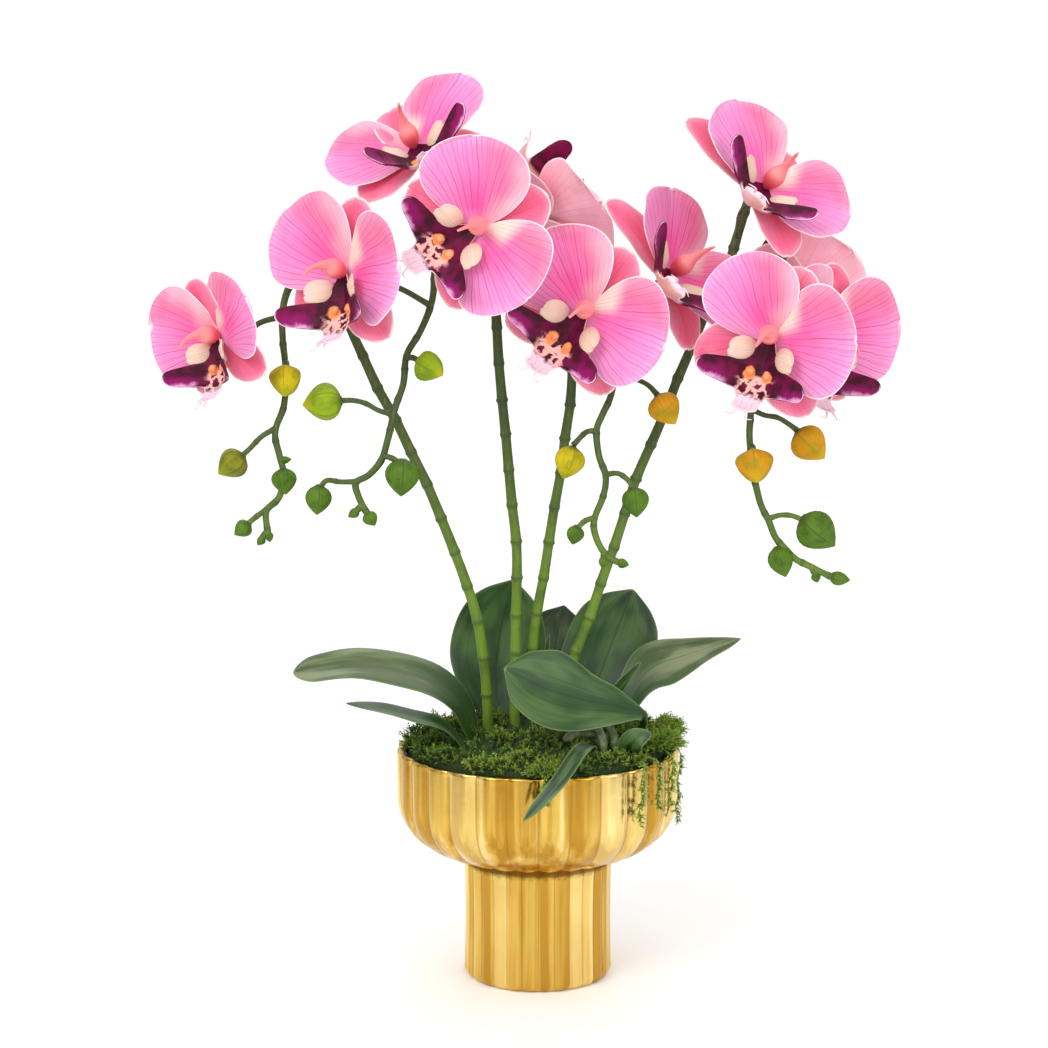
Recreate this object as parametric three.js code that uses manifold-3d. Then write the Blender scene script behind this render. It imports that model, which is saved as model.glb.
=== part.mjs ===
// A potted moth orchid: four flower stems with eleven blooms, strap leaves and moss in a fluted gold bowl.
// Millimetres, +Z up. The origin is the middle of the pot's underside, and the blooms face -Y.
import * as THREE from "three";
import { mergeVertices } from "three/addons/utils/BufferGeometryUtils.js";
import Module from "manifold-3d";

const wasm = await Module();
wasm.setup();

// Driving sizes
const gap = 0.35;
const pot = { height: 142, rim: 85.5, wall: 5, foot: 45, waist: 76, shoulder: 112, ribs: 28, rib: 1.6, floor: 7 };
const fill = { top: 136, hole: 34, slack: 0.5, seat: 3 };
const moss = { base: 136.4, edge: 143.5, crown: 153, bump: 3.2, columns: 24, rings: 4 };
const stemSize = { foot: 3.1, arch: 2.6, tip: 1.9, step: 17 };
const bloomSize = {
  petal: { long: 54, half: 30.5, fold: 20, curl: 5, cup: 0.1, side: 67 },
  dorsal: { long: 44, half: 15, fold: 6, curl: 4, cup: 0.12 },
  lateral: { long: 46, half: 15, fold: 4, curl: 6, cup: 0.12, side: 129 },
  thick: 0.9,
  stub: 1.6,
  calyx: { top: 4.2, foot: 2.4, long: 8, back: 6.4 },
};
const lipSize = { thick: 1, spur: 38, ear: 17, rise: 24, reach: 30, callus: 3.2 };
const mossRoom = { stem: 1.4, leaf: 8 };
const leafThick = 1.3;
const meshSlack = 0.3;

// Finishes
const gold = new THREE.MeshStandardMaterial({ color: 0xd4ac52, roughness: 0.22, metalness: 1 });
const soil = new THREE.MeshStandardMaterial({ color: 0x3a2c1e, roughness: 0.95, metalness: 0 });
const mossGreen = new THREE.MeshStandardMaterial({ color: 0x3c5a1c, roughness: 0.95, metalness: 0 });
const stemGreen = new THREE.MeshStandardMaterial({ color: 0x4d6a1e, roughness: 0.55, metalness: 0 });
const leafGreen = new THREE.MeshStandardMaterial({ color: 0x2a4a26, roughness: 0.4, metalness: 0 });
const rootGrey = new THREE.MeshStandardMaterial({ color: 0x7c8a62, roughness: 0.7, metalness: 0 });
const budYellow = new THREE.MeshStandardMaterial({ color: 0xc8b41a, roughness: 0.6, metalness: 0 });
const budAmber = new THREE.MeshStandardMaterial({ color: 0xd7a01e, roughness: 0.6, metalness: 0 });
const petalPink = new THREE.MeshStandardMaterial({ color: 0xf07cb4, roughness: 0.7, metalness: 0 });
const lipWine = new THREE.MeshStandardMaterial({ color: 0x7a0f45, roughness: 0.6, metalness: 0 });

const group = new THREE.Group();
const rad = THREE.MathUtils.degToRad;
const vec = (x, y, z) => new THREE.Vector3(x, y, z);
const route = (points) => points.map(([x, y, z]) => vec(x, y, z));

// Closed meshes become solids for joining and cutting, and go back to geometry for their node
function solid(geometry) {
  const bare = new THREE.BufferGeometry();
  bare.setAttribute("position", geometry.getAttribute("position"));
  bare.setIndex(geometry.index);
  const merged = mergeVertices(bare, 1e-4);
  const corners = merged.index.array;
  const triangles = [];
  for (let i = 0; i < corners.length; i += 3) {
    const [a, b, c] = [corners[i], corners[i + 1], corners[i + 2]];
    if (a !== b && b !== c && c !== a) triangles.push(a, b, c);
  }
  const vertProperties = new Float32Array(merged.attributes.position.array);
  return new wasm.Manifold(new wasm.Mesh({ numProp: 3, vertProperties, triVerts: new Uint32Array(triangles) }));
}

const joined = (solids) => solids.reduce((all, next) => all.add(next));

// Scraps that a cut leaves apart are dropped, so that a node stays one body
function largest(body) {
  return body.decompose().reduce((best, next) => (next.volume() > best.volume() ? next : best));
}

function addNode(name, body, material) {
  const { vertProperties, triVerts } = body.simplify(meshSlack).getMesh();
  const geometry = new THREE.BufferGeometry();
  geometry.setAttribute("position", new THREE.BufferAttribute(new Float32Array(vertProperties), 3));
  geometry.setIndex(new THREE.BufferAttribute(new Uint32Array(triVerts), 1));
  geometry.computeVertexNormals();
  const node = new THREE.Mesh(geometry, material);
  node.name = name;
  group.add(node);
}

function closedGeometry(points, triangles) {
  const geometry = new THREE.BufferGeometry();
  geometry.setAttribute("position", new THREE.Float32BufferAttribute(points.flatMap((p) => [p.x, p.y, p.z]), 3));
  geometry.setIndex(triangles);
  return geometry;
}

// A round bar along a smooth route, whose radius follows the share of the way along it
function bar(points, radiusAt, sides, steps) {
  const path = new THREE.CatmullRomCurve3(points, false, "centripetal");
  const frames = path.computeFrenetFrames(steps);
  const ring = [];
  for (let i = 0; i <= steps; i++) {
    const middle = path.getPointAt(i / steps);
    const radius = radiusAt(i / steps);
    for (let k = 0; k < sides; k++) {
      const turn = (2 * Math.PI * k) / sides;
      const point = middle.clone().addScaledVector(frames.normals[i], radius * Math.cos(turn));
      ring.push(point.addScaledVector(frames.binormals[i], radius * Math.sin(turn)));
    }
  }
  const triangles = [];
  for (let i = 0; i < steps; i++) {
    for (let k = 0; k < sides; k++) {
      const [a, b] = [i * sides + k, i * sides + ((k + 1) % sides)];
      triangles.push(a, b, b + sides, a, b + sides, a + sides);
    }
  }
  for (let k = 1; k < sides - 1; k++) {
    const last = steps * sides;
    triangles.push(0, k + 1, k, last, last + k, last + k + 1);
  }
  return solid(closedGeometry(ring, triangles));
}

// A thin blade of even thickness around a middle surface, split alike on both faces
function blade(surface, rows, columns, thickness) {
  const across = columns + 1;
  const middle = [];
  for (let i = 0; i <= rows; i++) {
    for (let j = 0; j <= columns; j++) middle.push(surface(i / rows, (2 * j) / columns - 1));
  }
  const at = (i, j) => middle[THREE.MathUtils.clamp(i, 0, rows) * across + THREE.MathUtils.clamp(j, 0, columns)];
  const front = [];
  const back = [];
  for (let i = 0; i <= rows; i++) {
    for (let j = 0; j <= columns; j++) {
      const along = at(i + 1, j).clone().sub(at(i - 1, j));
      const side = at(i, j + 1).clone().sub(at(i, j - 1));
      const normal = side.cross(along).normalize().multiplyScalar(thickness / 2);
      front.push(at(i, j).clone().add(normal));
      back.push(at(i, j).clone().sub(normal));
    }
  }
  const under = front.length;
  const triangles = [];
  for (let i = 0; i < rows; i++) {
    for (let j = 0; j < columns; j++) {
      const [a, b] = [i * across + j, i * across + j + 1];
      const [c, d] = [a + across, b + across];
      triangles.push(a, b, d, a, d, c, under + a, under + d, under + b, under + a, under + c, under + d);
    }
  }
  const rimOf = [];
  for (let j = 0; j < columns; j++) rimOf.push(j);
  for (let i = 0; i < rows; i++) rimOf.push(i * across + columns);
  for (let j = columns; j > 0; j--) rimOf.push(rows * across + j);
  for (let i = rows; i > 0; i--) rimOf.push(i * across);
  rimOf.forEach((a, k) => {
    const b = rimOf[(k + 1) % rimOf.length];
    triangles.push(a, under + a, under + b, a, under + b, b);
  });
  return solid(closedGeometry([...front, ...back], triangles));
}

// Share of full width at each share of length: widest at rise / (rise + fall)
function outline(share, rise, fall) {
  const peak = rise / (rise + fall);
  return (share ** rise * (1 - share) ** fall) / (peak ** rise * (1 - peak) ** fall);
}

// The widths at chosen shares of a length, run through a smooth curve
function widths(pairs) {
  const line = new THREE.SplineCurve(pairs.map(([share, width]) => new THREE.Vector2(share, width)));
  return (share) => {
    let low = 0;
    let high = 1;
    for (let i = 0; i < 24; i++) {
      const half = (low + high) / 2;
      if (line.getPoint(half).x < share) low = half;
      else high = half;
    }
    return line.getPoint(low).y;
  };
}

// Pot: a turned solid whose outer wall is pressed into convex ribs, hollowed from above
function buildPot() {
  const outer = [[0, 0, 0], [pot.foot - 4.5, 0, 0], [pot.foot, 5, 1], [pot.foot, pot.waist, 1]];
  const bellyBottom = pot.waist + 2;
  for (let i = 0; i <= 4; i++) {
    const turn = (i / 4) * (Math.PI / 2);
    const radius = pot.foot + 3 + (pot.rim - pot.foot - 3) * Math.sin(turn);
    outer.push([radius, bellyBottom + (pot.shoulder - bellyBottom) * (1 - Math.cos(turn)), 1]);
  }
  outer.push([pot.rim, pot.height - 1.5, 1], [pot.rim - 1.5, pot.height, 0.6], [0, pot.height, 0]);
  const columns = pot.ribs * 2;
  const body = new THREE.LatheGeometry(outer.map(([r, z]) => new THREE.Vector2(r, z)), columns);
  body.rotateX(Math.PI / 2);
  const position = body.getAttribute("position");
  for (let k = 0; k < position.count; k++) {
    const share = outer[k % outer.length][2];
    const column = Math.floor(k / outer.length) % columns;
    if (share > 0 && column % 2 === 0) {
      const radius = Math.hypot(position.getX(k), position.getY(k));
      const scale = 1 - (pot.rib * share) / radius;
      position.setXY(k, position.getX(k) * scale, position.getY(k) * scale);
    }
  }
  addNode("pot", solid(body).subtract(hollow(0, pot.height + 1)), gold);
}

// What the pot's inside leaves free, less some slack, up to a height
function hollow(slack, top) {
  const inner = pot.rim - pot.wall - slack;
  const neck = pot.foot - pot.wall - 1 - slack;
  const floor = pot.floor + slack;
  const profile = [[0, floor], [neck, floor], [neck, pot.waist + 7], [inner * 0.8, pot.waist + 15]];
  profile.push([inner, pot.shoulder + 1], [inner, top], [0, top]);
  const lathe = new THREE.LatheGeometry(profile.map(([r, z]) => new THREE.Vector2(r, z)), pot.ribs);
  lathe.rotateX(Math.PI / 2);
  return solid(lathe);
}

// How low in the fill the stems and leaves stand
const standing = fill.top - fill.hole + fill.seat;

// Everything that stands in the fill: where, and how thick
const pegs = [];

function peg(x, y, radius, low, high) {
  const cylinder = new THREE.CylinderGeometry(radius, radius, high - low, 6);
  cylinder.rotateX(Math.PI / 2);
  cylinder.translate(x, y, (low + high) / 2);
  return solid(cylinder);
}

function buildFill() {
  const holes = pegs.map(({ x, y, radius }) => peg(x, y, radius + 2 * gap, fill.top - fill.hole, fill.top + 5));
  addNode("potting_fill", hollow(fill.slack, fill.top).subtract(joined(holes)), soil);
}

// Leaves: a midrib route, the way the upper face looks, and the widths along it
const leaves = {
  leaf_back_left: {
    rib: [[-21, 29, 146], [-26, 37, 172], [-23, 42, 205], [-15, 40, 237]],
    face: [[0, -1, 0.05], [0.05, -1, 0.1]],
    width: [[0, 5], [0.28, 22], [0.5, 29.5], [0.8, 24], [1, 5]],
  },
  leaf_back_right: {
    rib: [[29, 27, 146], [36, 34, 170], [48, 40, 202], [59, 40, 231]],
    face: [[-0.2, -1, 0.1], [-0.1, -1, 0.1]],
    width: [[0, 5], [0.28, 22], [0.5, 28], [0.8, 24], [1, 5]],
  },
  leaf_back: {
    rib: [[6, 46, 146], [9, 56, 175], [13, 64, 200], [17, 72, 215]],
    face: [[0, -1, 0.4], [0, -0.8, 0.7]],
    width: [[0, 5], [0.3, 15], [0.65, 20], [0.85, 15], [1, 3]],
  },
  leaf_right_long: {
    rib: [[50, 4, 146], [54, 8, 166], [68, 13, 185], [94, 20, 194], [125, 29, 202]],
    face: [[-0.35, -0.85, 0.4], [-0.2, -0.6, 0.8]],
    width: [[0, 5], [0.3, 11], [0.5, 17], [0.75, 10], [1, 2]],
  },
  leaf_right_low: {
    rib: [[53, -42, 145], [53, -50, 152], [57, -56, 159], [66, -57, 163]],
    face: [[0, -1, 0.3], [0, -1, 0.3]],
    width: [[0, 4], [0.4, 7], [0.7, 6.5], [1, 1.5]],
  },
  leaf_front: {
    rib: [[56, -20, 146], [63, -32, 166], [48, -44, 175], [26, -52, 181], [2, -59, 190], [-20, -64, 203]],
    face: [[-0.3, -0.75, 0.6], [0.25, -0.85, 0.55]],
    width: [[0, 4], [0.22, 3.5], [0.45, 14], [0.72, 24.5], [0.9, 18], [1, 5]],
  },
  leaf_left_long: {
    rib: [[-38, -16, 146], [-47, -17, 170], [-68, -20, 187], [-104, -26, 196], [-145, -32, 193]],
    face: [[0.5, -0.35, 0.8], [-0.1, -0.35, 0.94]],
    width: [[0, 5], [0.25, 15], [0.5, 16], [0.8, 12.5], [0.93, 9], [1, 5]],
  },
  leaf_left_low: {
    rib: [[-42, -36, 146], [-54, -38, 160], [-76, -41, 169], [-96, -44, 174], [-113, -46, 178]],
    face: [[0.3, -0.1, 0.95], [0, -0.05, 1]],
    width: [[0, 4], [0.3, 11], [0.6, 12], [0.85, 8], [1, 3]],
  },
  leaf_over_rim: {
    rib: [[32, -60, 146], [31, -64, 156], [24, -82, 158], [10, -97, 142], [-9, -102, 122]],
    face: [[0, -0.4, 0.9], [-0.1, -0.9, 0.4]],
    width: [[0, 2.5], [0.3, 4.6], [0.6, 4.6], [0.85, 3.4], [1, 1.2]],
  },
  sprout_right: {
    rib: [[42, -12, 146], [43, -16, 172], [50, -19, 184], [61, -22, 198]],
    face: [[0, -1, 0.1], [0.2, -1, 0.1]],
    width: [[0, 2], [0.5, 4], [1, 1.4]],
  },
  sprout_left: {
    rib: [[4, 30, 146], [4, 26, 170], [5, 24, 190], [7, 24, 206]],
    face: [[0, -1, 0], [0.1, -1, 0]],
    width: [[0, 1.6], [0.5, 2.6], [1, 1.2]],
  },
};

// A leaf grows out of a short round foot. Grown by a margin, it cuts its own clearance.
function leafBody({ rib, face, width }, margin) {
  const points = route(rib);
  const path = new THREE.CatmullRomCurve3(points, false, "centripetal");
  const [low, high] = face.map(([x, y, z]) => vec(x, y, z).normalize());
  const half = widths(width);
  const surface = (s, v) => {
    const share = Math.sin((s * Math.PI) / 2);
    const middle = path.getPointAt(share);
    const along = path.getTangentAt(share);
    const up = low.clone().lerp(high, share);
    const side = up.clone().cross(along).normalize().negate();
    const normal = along.clone().cross(side).normalize();
    const reach = (half(share) + margin) * v;
    return middle.addScaledVector(side, reach).addScaledVector(normal, -0.14 * Math.abs(reach));
  };
  const { x, y } = points[0];
  const radius = Math.min(4, width[0][1]) + margin;
  const foot = peg(x, y, radius, standing - margin, rib[0][2] + 2 + margin);
  return blade(surface, 5, width.length > 3 ? 4 : 2, leafThick + 2 * margin).add(foot);
}

function buildLeaves() {
  for (const [name, leaf] of Object.entries(leaves)) {
    addNode(name, leafBody(leaf, 0), leafGreen);
    pegs.push({ x: leaf.rib[0][0], y: leaf.rib[0][1], radius: Math.min(4, leaf.width[0][1]), room: mossRoom.leaf });
  }
}

// A bud: a pointed egg with its broad end at the pedicel
function budBody(at, axis, long, wide) {
  const profile = [[0, 0], [0.34, 0], [0.86, 0.22], [1, 0.46], [0.76, 0.78], [0, 1]];
  const lathe = new THREE.LatheGeometry(
    profile.map(([r, s]) => new THREE.Vector2((r * wide) / 2, s * long)), wide > 9 ? 5 : 4);
  lathe.applyQuaternion(new THREE.Quaternion().setFromUnitVectors(vec(0, 1, 0), axis.clone().normalize()));
  lathe.translate(at.x, at.y, at.z);
  return solid(lathe);
}

// Aerial roots: three blunt fingers from one crown, which stands in the fill like the stems
const roots = {
  crown: [37, -36, 156],
  fingers: [
    [[37, -36, 156], [35, -45, 163], [38, -50, 157], [38.5, -51, 150]],
    [[37, -36, 156], [41, -42, 164], [44.5, -45, 158], [45, -46, 150]],
    [[37, -36, 156], [28, -44, 160], [20, -49, 160], [15, -52, 157]],
  ],
  radius: 2.5,
};

function buildRoots() {
  const { crown: [x, y, z], fingers, radius } = roots;
  const taper = (share) => radius * (share > 0.9 ? 0.6 : 1);
  const body = joined([peg(x, y, radius + 1, standing, z + 2),
    ...fingers.map((way) => bar(route(way), taper, 6, 6))]);
  addNode("aerial_roots", body, rootGrey);
  pegs.push({ x, y, radius: radius + 1, room: mossRoom.stem });
}

// Flower stems: the main route, side twigs and the green buds at their ends, in one body each
const twig = 1.5;
const flowerStems = {
  flower_stem_1: {
    main: [[-30, -8, 106], [-30, -8, 150], [-33, -10, 200], [-39, -14, 234], [-51, -17, 268], [-67, -20, 307],
      [-81, -22, 337], [-96, -24, 367], [-108, -22, 392], [-121, -14, 420], [-134, -10, 430], [-144, -18, 424],
      [-148, -32, 408], [-147, -40, 391], [-146, -42, 379], [-146, -42, 366], [-148, -45, 352], [-152, -46, 339],
      [-150, -46, 325], [-148, -46, 312], [-151, -46, 301], [-158, -46, 293], [-158, -46, 284], [-157, -46, 278]],
    twigs: [
      [[-146, -41, 379], [-145.5, -46, 378.5], [-145, -49.4, 377]],
      [[-152, -46, 340], [-160, -46, 336], [-168, -46, 328], [-174, -47, 323]],
      [[-157, -46, 294], [-164, -46, 289], [-170, -46, 284]],
      [[-158, -46, 281], [-162, -46, 275]],
    ],
    buds: [
      { at: [-171, -46, 325], axis: [-0.8, -0.1, -0.6], long: 18, wide: 17 },
      { at: [-148, -46, 317], axis: [0.1, -0.1, -1], long: 15, wide: 14 },
      { at: [-168, -46, 285], axis: [-0.8, -0.1, -0.6], long: 11, wide: 10 },
      { at: [-160, -46, 277], axis: [-0.6, 0, -0.8], long: 6, wide: 5 },
      { at: [-157, -46, 280], axis: [0.1, 0, -1], long: 6, wide: 5 },
      { at: [-150, -46, 322], axis: [1, 0, 0.1], long: 7, wide: 4.4 },
    ],
  },
  flower_stem_2: {
    main: [[-14, 2, 106], [-14, 2, 150], [-14, 2, 200], [-13, 1, 259], [-16, -2, 299], [-20, -5, 341],
      [-23, -8, 377], [-25, -8, 405], [-31, 0, 436], [-40, 12, 462], [-50, 12, 466], [-58, 0, 456],
      [-60, -18, 436], [-61, -34, 414], [-68, -42, 396], [-76, -46, 383], [-78, -50, 366], [-83, -54, 351],
      [-87, -56, 335], [-91, -56, 323], [-98, -56, 315], [-105, -56, 311], [-104, -56, 303], [-101, -56, 296],
      [-98, -56, 291]],
    twigs: [
      [[-84, -54, 350], [-92, -55, 352], [-99, -56, 356], [-106, -58, 358], [-115, -60, 358]],
      [[-77, -47, 382], [-72, -52, 382], [-68, -55, 380]],
      [[-91, -56, 326], [-85, -58, 325], [-79, -60, 322]],
      [[-104, -56, 311], [-114, -58, 311], [-122, -60, 312], [-126, -60, 307]],
      [[-101, -56, 297], [-106, -56, 293]],
    ],
    buds: [
      { at: [-113, -60, 358], axis: [-1, -0.1, -0.1], long: 22, wide: 21 },
      { at: [-69, -55, 381], axis: [0.8, -0.4, -0.45], long: 18, wide: 17 },
      { at: [-78, -60, 324], axis: [-0.05, -0.1, -1], long: 21, wide: 19 },
      { at: [-126, -60, 309], axis: [-0.1, 0, -1], long: 17, wide: 14.5 },
      { at: [-99, -56, 293], axis: [0.5, 0, -0.85], long: 9, wide: 8.5 },
      { at: [-104, -56, 294], axis: [-0.8, 0, -0.5], long: 7, wide: 5.5 },
    ],
  },
  flower_stem_3: {
    main: [[-3, 16, 106], [-3, 16, 150], [-2, 14, 204], [1, 13, 229], [6, 11, 260], [11, 8, 294], [15, 4, 322],
      [19, 0, 355], [23, 0, 384], [30, 6, 402], [38, 4, 408], [45, -10, 398], [46, -26, 380], [43, -40, 361],
      [37, -46, 348], [34, -48, 340], [35, -49, 325], [39, -49, 313], [38, -49, 301], [33, -49, 289],
      [32, -49, 282], [36, -49, 271], [42, -49, 265], [48, -49, 262]],
    twigs: [
      [[34, -47, 340], [28, -49, 339], [23, -53, 335], [20, -55, 332]],
      [[39, -49, 315], [46, -51, 315], [52, -54, 311], [55, -55, 306]],
      [[33, -49, 289], [27, -49, 287], [22, -50, 282]],
      [[39, -49, 269], [38, -49, 264]],
      [[45, -30, 375], [50, -37, 371], [56, -43, 369], [63, -49, 366], [68, -53, 361]],
    ],
    buds: [
      { at: [55, -55, 307], axis: [0.1, -0.1, -1], long: 17, wide: 15 },
      { at: [22, -50, 284], axis: [-0.2, 0, -1], long: 11, wide: 10 },
      { at: [46, -49, 263], axis: [1, 0, -0.3], long: 7, wide: 5.6 },
      { at: [38, -49, 266], axis: [-0.1, 0, -1], long: 7, wide: 5.6 },
    ],
  },
  flower_stem_4: {
    main: [[12, 6, 106], [12, 6, 130], [13, 6, 156], [20, 6, 188], [32, 6, 223], [42, 5, 254], [52, 3, 283],
      [61, 0, 310], [71, -4, 336], [83, -6, 366], [93, -6, 392], [104, -4, 419], [113, -1, 437],
      [119, 1, 456], [125, 6, 472],
      [134, 10, 480], [142, 10, 470], [145, 8, 450], [145, 3, 428], [144, -6, 404], [138, -18, 380], [128, -32, 362],
      [123, -40, 350], [122, -42, 338], [123, -42, 328], [124, -43, 316], [127, -45, 305], [130, -46, 296],
      [134, -46, 288], [138, -46, 276], [143, -47, 270], [150, -47, 263], [160, -47, 259], [172, -47, 253]],
    twigs: [
      [[123, -41, 330], [124, -46, 329.5], [124, -49.4, 328]],
      [[134, -46, 288], [140, -47, 290], [147, -49, 290], [155, -51, 287]],
      [[159, -47, 259], [162, -47, 254]],
      [[123, -40, 351], [131, -44, 348], [138, -47, 347], [145, -49, 343], [149, -50, 340]],
    ],
    buds: [
      { at: [153, -50, 289], axis: [0.75, -0.1, -0.65], long: 25, wide: 22 },
      { at: [138.6, -47, 271], axis: [0.3, -0.1, -0.95], long: 18, wide: 14 },
      { at: [170, -47, 254], axis: [1, 0, -0.2], long: 12, wide: 8 },
      { at: [161, -47, 256], axis: [0.3, 0, -1], long: 6, wide: 5.4 },
    ],
  },
};

// Buds that show yellow are pieces of their own, each seated at the end of its twig
const yellowBuds = {
  bud_yellow_1: { at: [-145, -50.4, 376.2], axis: [0, -0.6, -0.8], long: 19.4, wide: 17.5, material: budYellow },
  bud_yellow_2: { at: [19.6, -55.4, 330.8], axis: [-0.3, -0.1, -1], long: 19, wide: 17, material: budYellow },
  bud_yellow_3: { at: [124, -50.4, 327.2], axis: [0.05, -0.6, -0.8], long: 20, wide: 21, material: budYellow },
  bud_amber_1: { at: [68.4, -53.3, 360.2], axis: [0.5, -0.3, -0.8], long: 19.5, wide: 18, material: budAmber },
  bud_amber_2: { at: [149.5, -50.2, 339.3], axis: [0.6, -0.2, -0.6], long: 22, wide: 20, material: budAmber },
};

// Blooms: where the calyx is, where the face looks (yaw from -Y towards +X, pitch up) and the roll.
// No two are alike: each petal (right, left) and sepal (top, lowRight, lowLeft) may turn, fold forward,
// and be longer and narrower than the usual one, as [degrees, degrees, times as long, times as wide].
const blooms = {
  a: { at: [-182, -48, 393], yaw: -42, pitch: -4, roll: -14, close: 22, stem: 1, from: [-150, -33, 404],
    size: 0.86, twist: 4, right: [0, -12], top: [-10, 14], lowRight: [0, -14], lowLeft: [0, -14] },
  b: { at: [-108, -62, 429], yaw: -38, pitch: 6, roll: 6, close: 6, stem: 2, from: [-62, -38, 411],
    twist: -16, right: [8, 0], left: [12, 0] },
  c: { at: [-71, -8, 498], yaw: -24, pitch: 50, roll: -42, close: 6, stem: 2, from: [-49, 12.5, 465],
    right: [-8, -4, 1.08, 0.84], left: [0, -12, 1, 0.92], top: [0, 10, 1, 0.9], lowLeft: [14, 0] },
  d: { at: [-35, -72, 456], yaw: -12, pitch: 2, roll: 68, close: 0, stem: 2, from: [-56, 0, 455],
    twist: -8, right: [4, 4], left: [2, 0] },
  e: { at: [1, 6, 460], yaw: 120, pitch: 34, roll: -155, close: 0, stem: 2, from: [-36, 7, 450] },
  f: { at: [26, -58, 407], yaw: -12, pitch: 4, roll: 36, close: 0, stem: 3, from: [36, 4, 406],
    twist: 2, right: [5, 0], left: [7, 0] },
  g: { at: [74, -33, 427], yaw: 54, pitch: 30, roll: 64, close: 24, stem: 3, from: [46, -14, 394],
    left: [20, 0, 1, 0.92], lowRight: [0, -20], lowLeft: [32, -14, 1.25] },
  h: { at: [127, -40, 476], yaw: 40, pitch: 37, roll: 60, close: 24, stem: 4, from: [116, -6, 450],
    left: [0, -4, 1.04], lowRight: [0, -14], lowLeft: [32, -12, 1.3] },
  i: { at: [131, -78, 394], yaw: -18, pitch: 2, roll: 26, close: 8, stem: 4, from: [125, -38, 353],
    via: [[124, -52, 370], [127, -66, 384]], twist: -10, right: [-4, 0], left: [22, 2, 1, 0.86],
    lowRight: [0, -8], lowLeft: [0, -8] },
  j: { at: [163, -20, 391], yaw: 34, pitch: -6, roll: 12, close: 0, stem: 4, from: [144, 0, 416] },
  k: { at: [150, 36, 405], yaw: 168, pitch: 27, roll: -117, close: 0, stem: 4, from: [145, 4, 426] },
};

// The bloom's own frame: +Z is where it faces, +Y its dorsal sepal, +X to its right as seen from the front
function bloomFrame({ at, yaw, pitch, roll, size = 1 }) {
  const level = Math.cos(rad(pitch));
  const face = vec(Math.sin(rad(yaw)) * level, -Math.cos(rad(yaw)) * level, Math.sin(rad(pitch)));
  const upright = vec(0, 0, 1).addScaledVector(face, -face.z).normalize();
  const right = upright.clone().cross(face);
  const dorsal = upright.clone().multiplyScalar(Math.cos(rad(roll))).addScaledVector(right, Math.sin(rad(roll)));
  const frame = new THREE.Matrix4().makeBasis(dorsal.clone().cross(face), dorsal, face);
  return frame.scale(vec(size, size, size)).setPosition(...at);
}

// One petal or sepal, at an angle from the dorsal direction, folded forward and curling back
function tepal({ long, half, fold, curl, cup }, angle, lift, rise, fall, close) {
  const axis = vec(Math.sin(rad(angle)), Math.cos(rad(angle)), 0);
  const side = vec(axis.y, -axis.x, 0);
  const surface = (s, v) => {
    const share = Math.sin((s * Math.PI) / 2);
    const reach = (bloomSize.stub + half * outline(share, rise, fall)) * v;
    const lean = rad(fold + close * (1 - 0.4 * share));
    const height = lift + long * share * Math.sin(lean) - curl * share ** 2 + (cup * reach ** 2) / half;
    const out = axis.clone().multiplyScalar(1 + long * share * Math.cos(lean));
    return out.addScaledVector(side, reach).add(vec(0, 0, height));
  };
  return surface;
}

function bloomBody(place) {
  const { thick, calyx } = bloomSize;
  const part = (usual, side, bend, lift, fall, close, rows, columns) => {
    const [turn, fold, longer = 1, wider = 1] = bend ?? [0, 0];
    const form = { ...usual, long: usual.long * longer, half: usual.half * wider };
    const rise = usual === bloomSize.petal ? 0.8 : 0.7;
    return blade(tepal(form, side + turn, lift, rise, fall, close + fold), rows, columns, thick);
  };
  const { petal, dorsal, lateral } = bloomSize;
  const { close } = place;
  const parts = [
    part(petal, petal.side, place.right, 1, 0.6, close * 0.4, 4, 3),
    part(petal, -petal.side, place.left, 1, 0.6, close * 0.4, 4, 3),
    part(dorsal, 0, place.top, -0.8, 0.6, close * 0.2, 3, 2),
    part(lateral, lateral.side, place.lowRight, -0.8, 0.65, close, 3, 2),
    part(lateral, -lateral.side, place.lowLeft, -0.8, 0.65, close, 3, 2),
  ];
  const cup = new THREE.CylinderGeometry(calyx.top, calyx.foot, calyx.long, 4);
  cup.rotateX(Math.PI / 2);
  cup.translate(0, 0, calyx.long / 2 - calyx.back);
  return joined([...parts, solid(cup)]);
}

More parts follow.
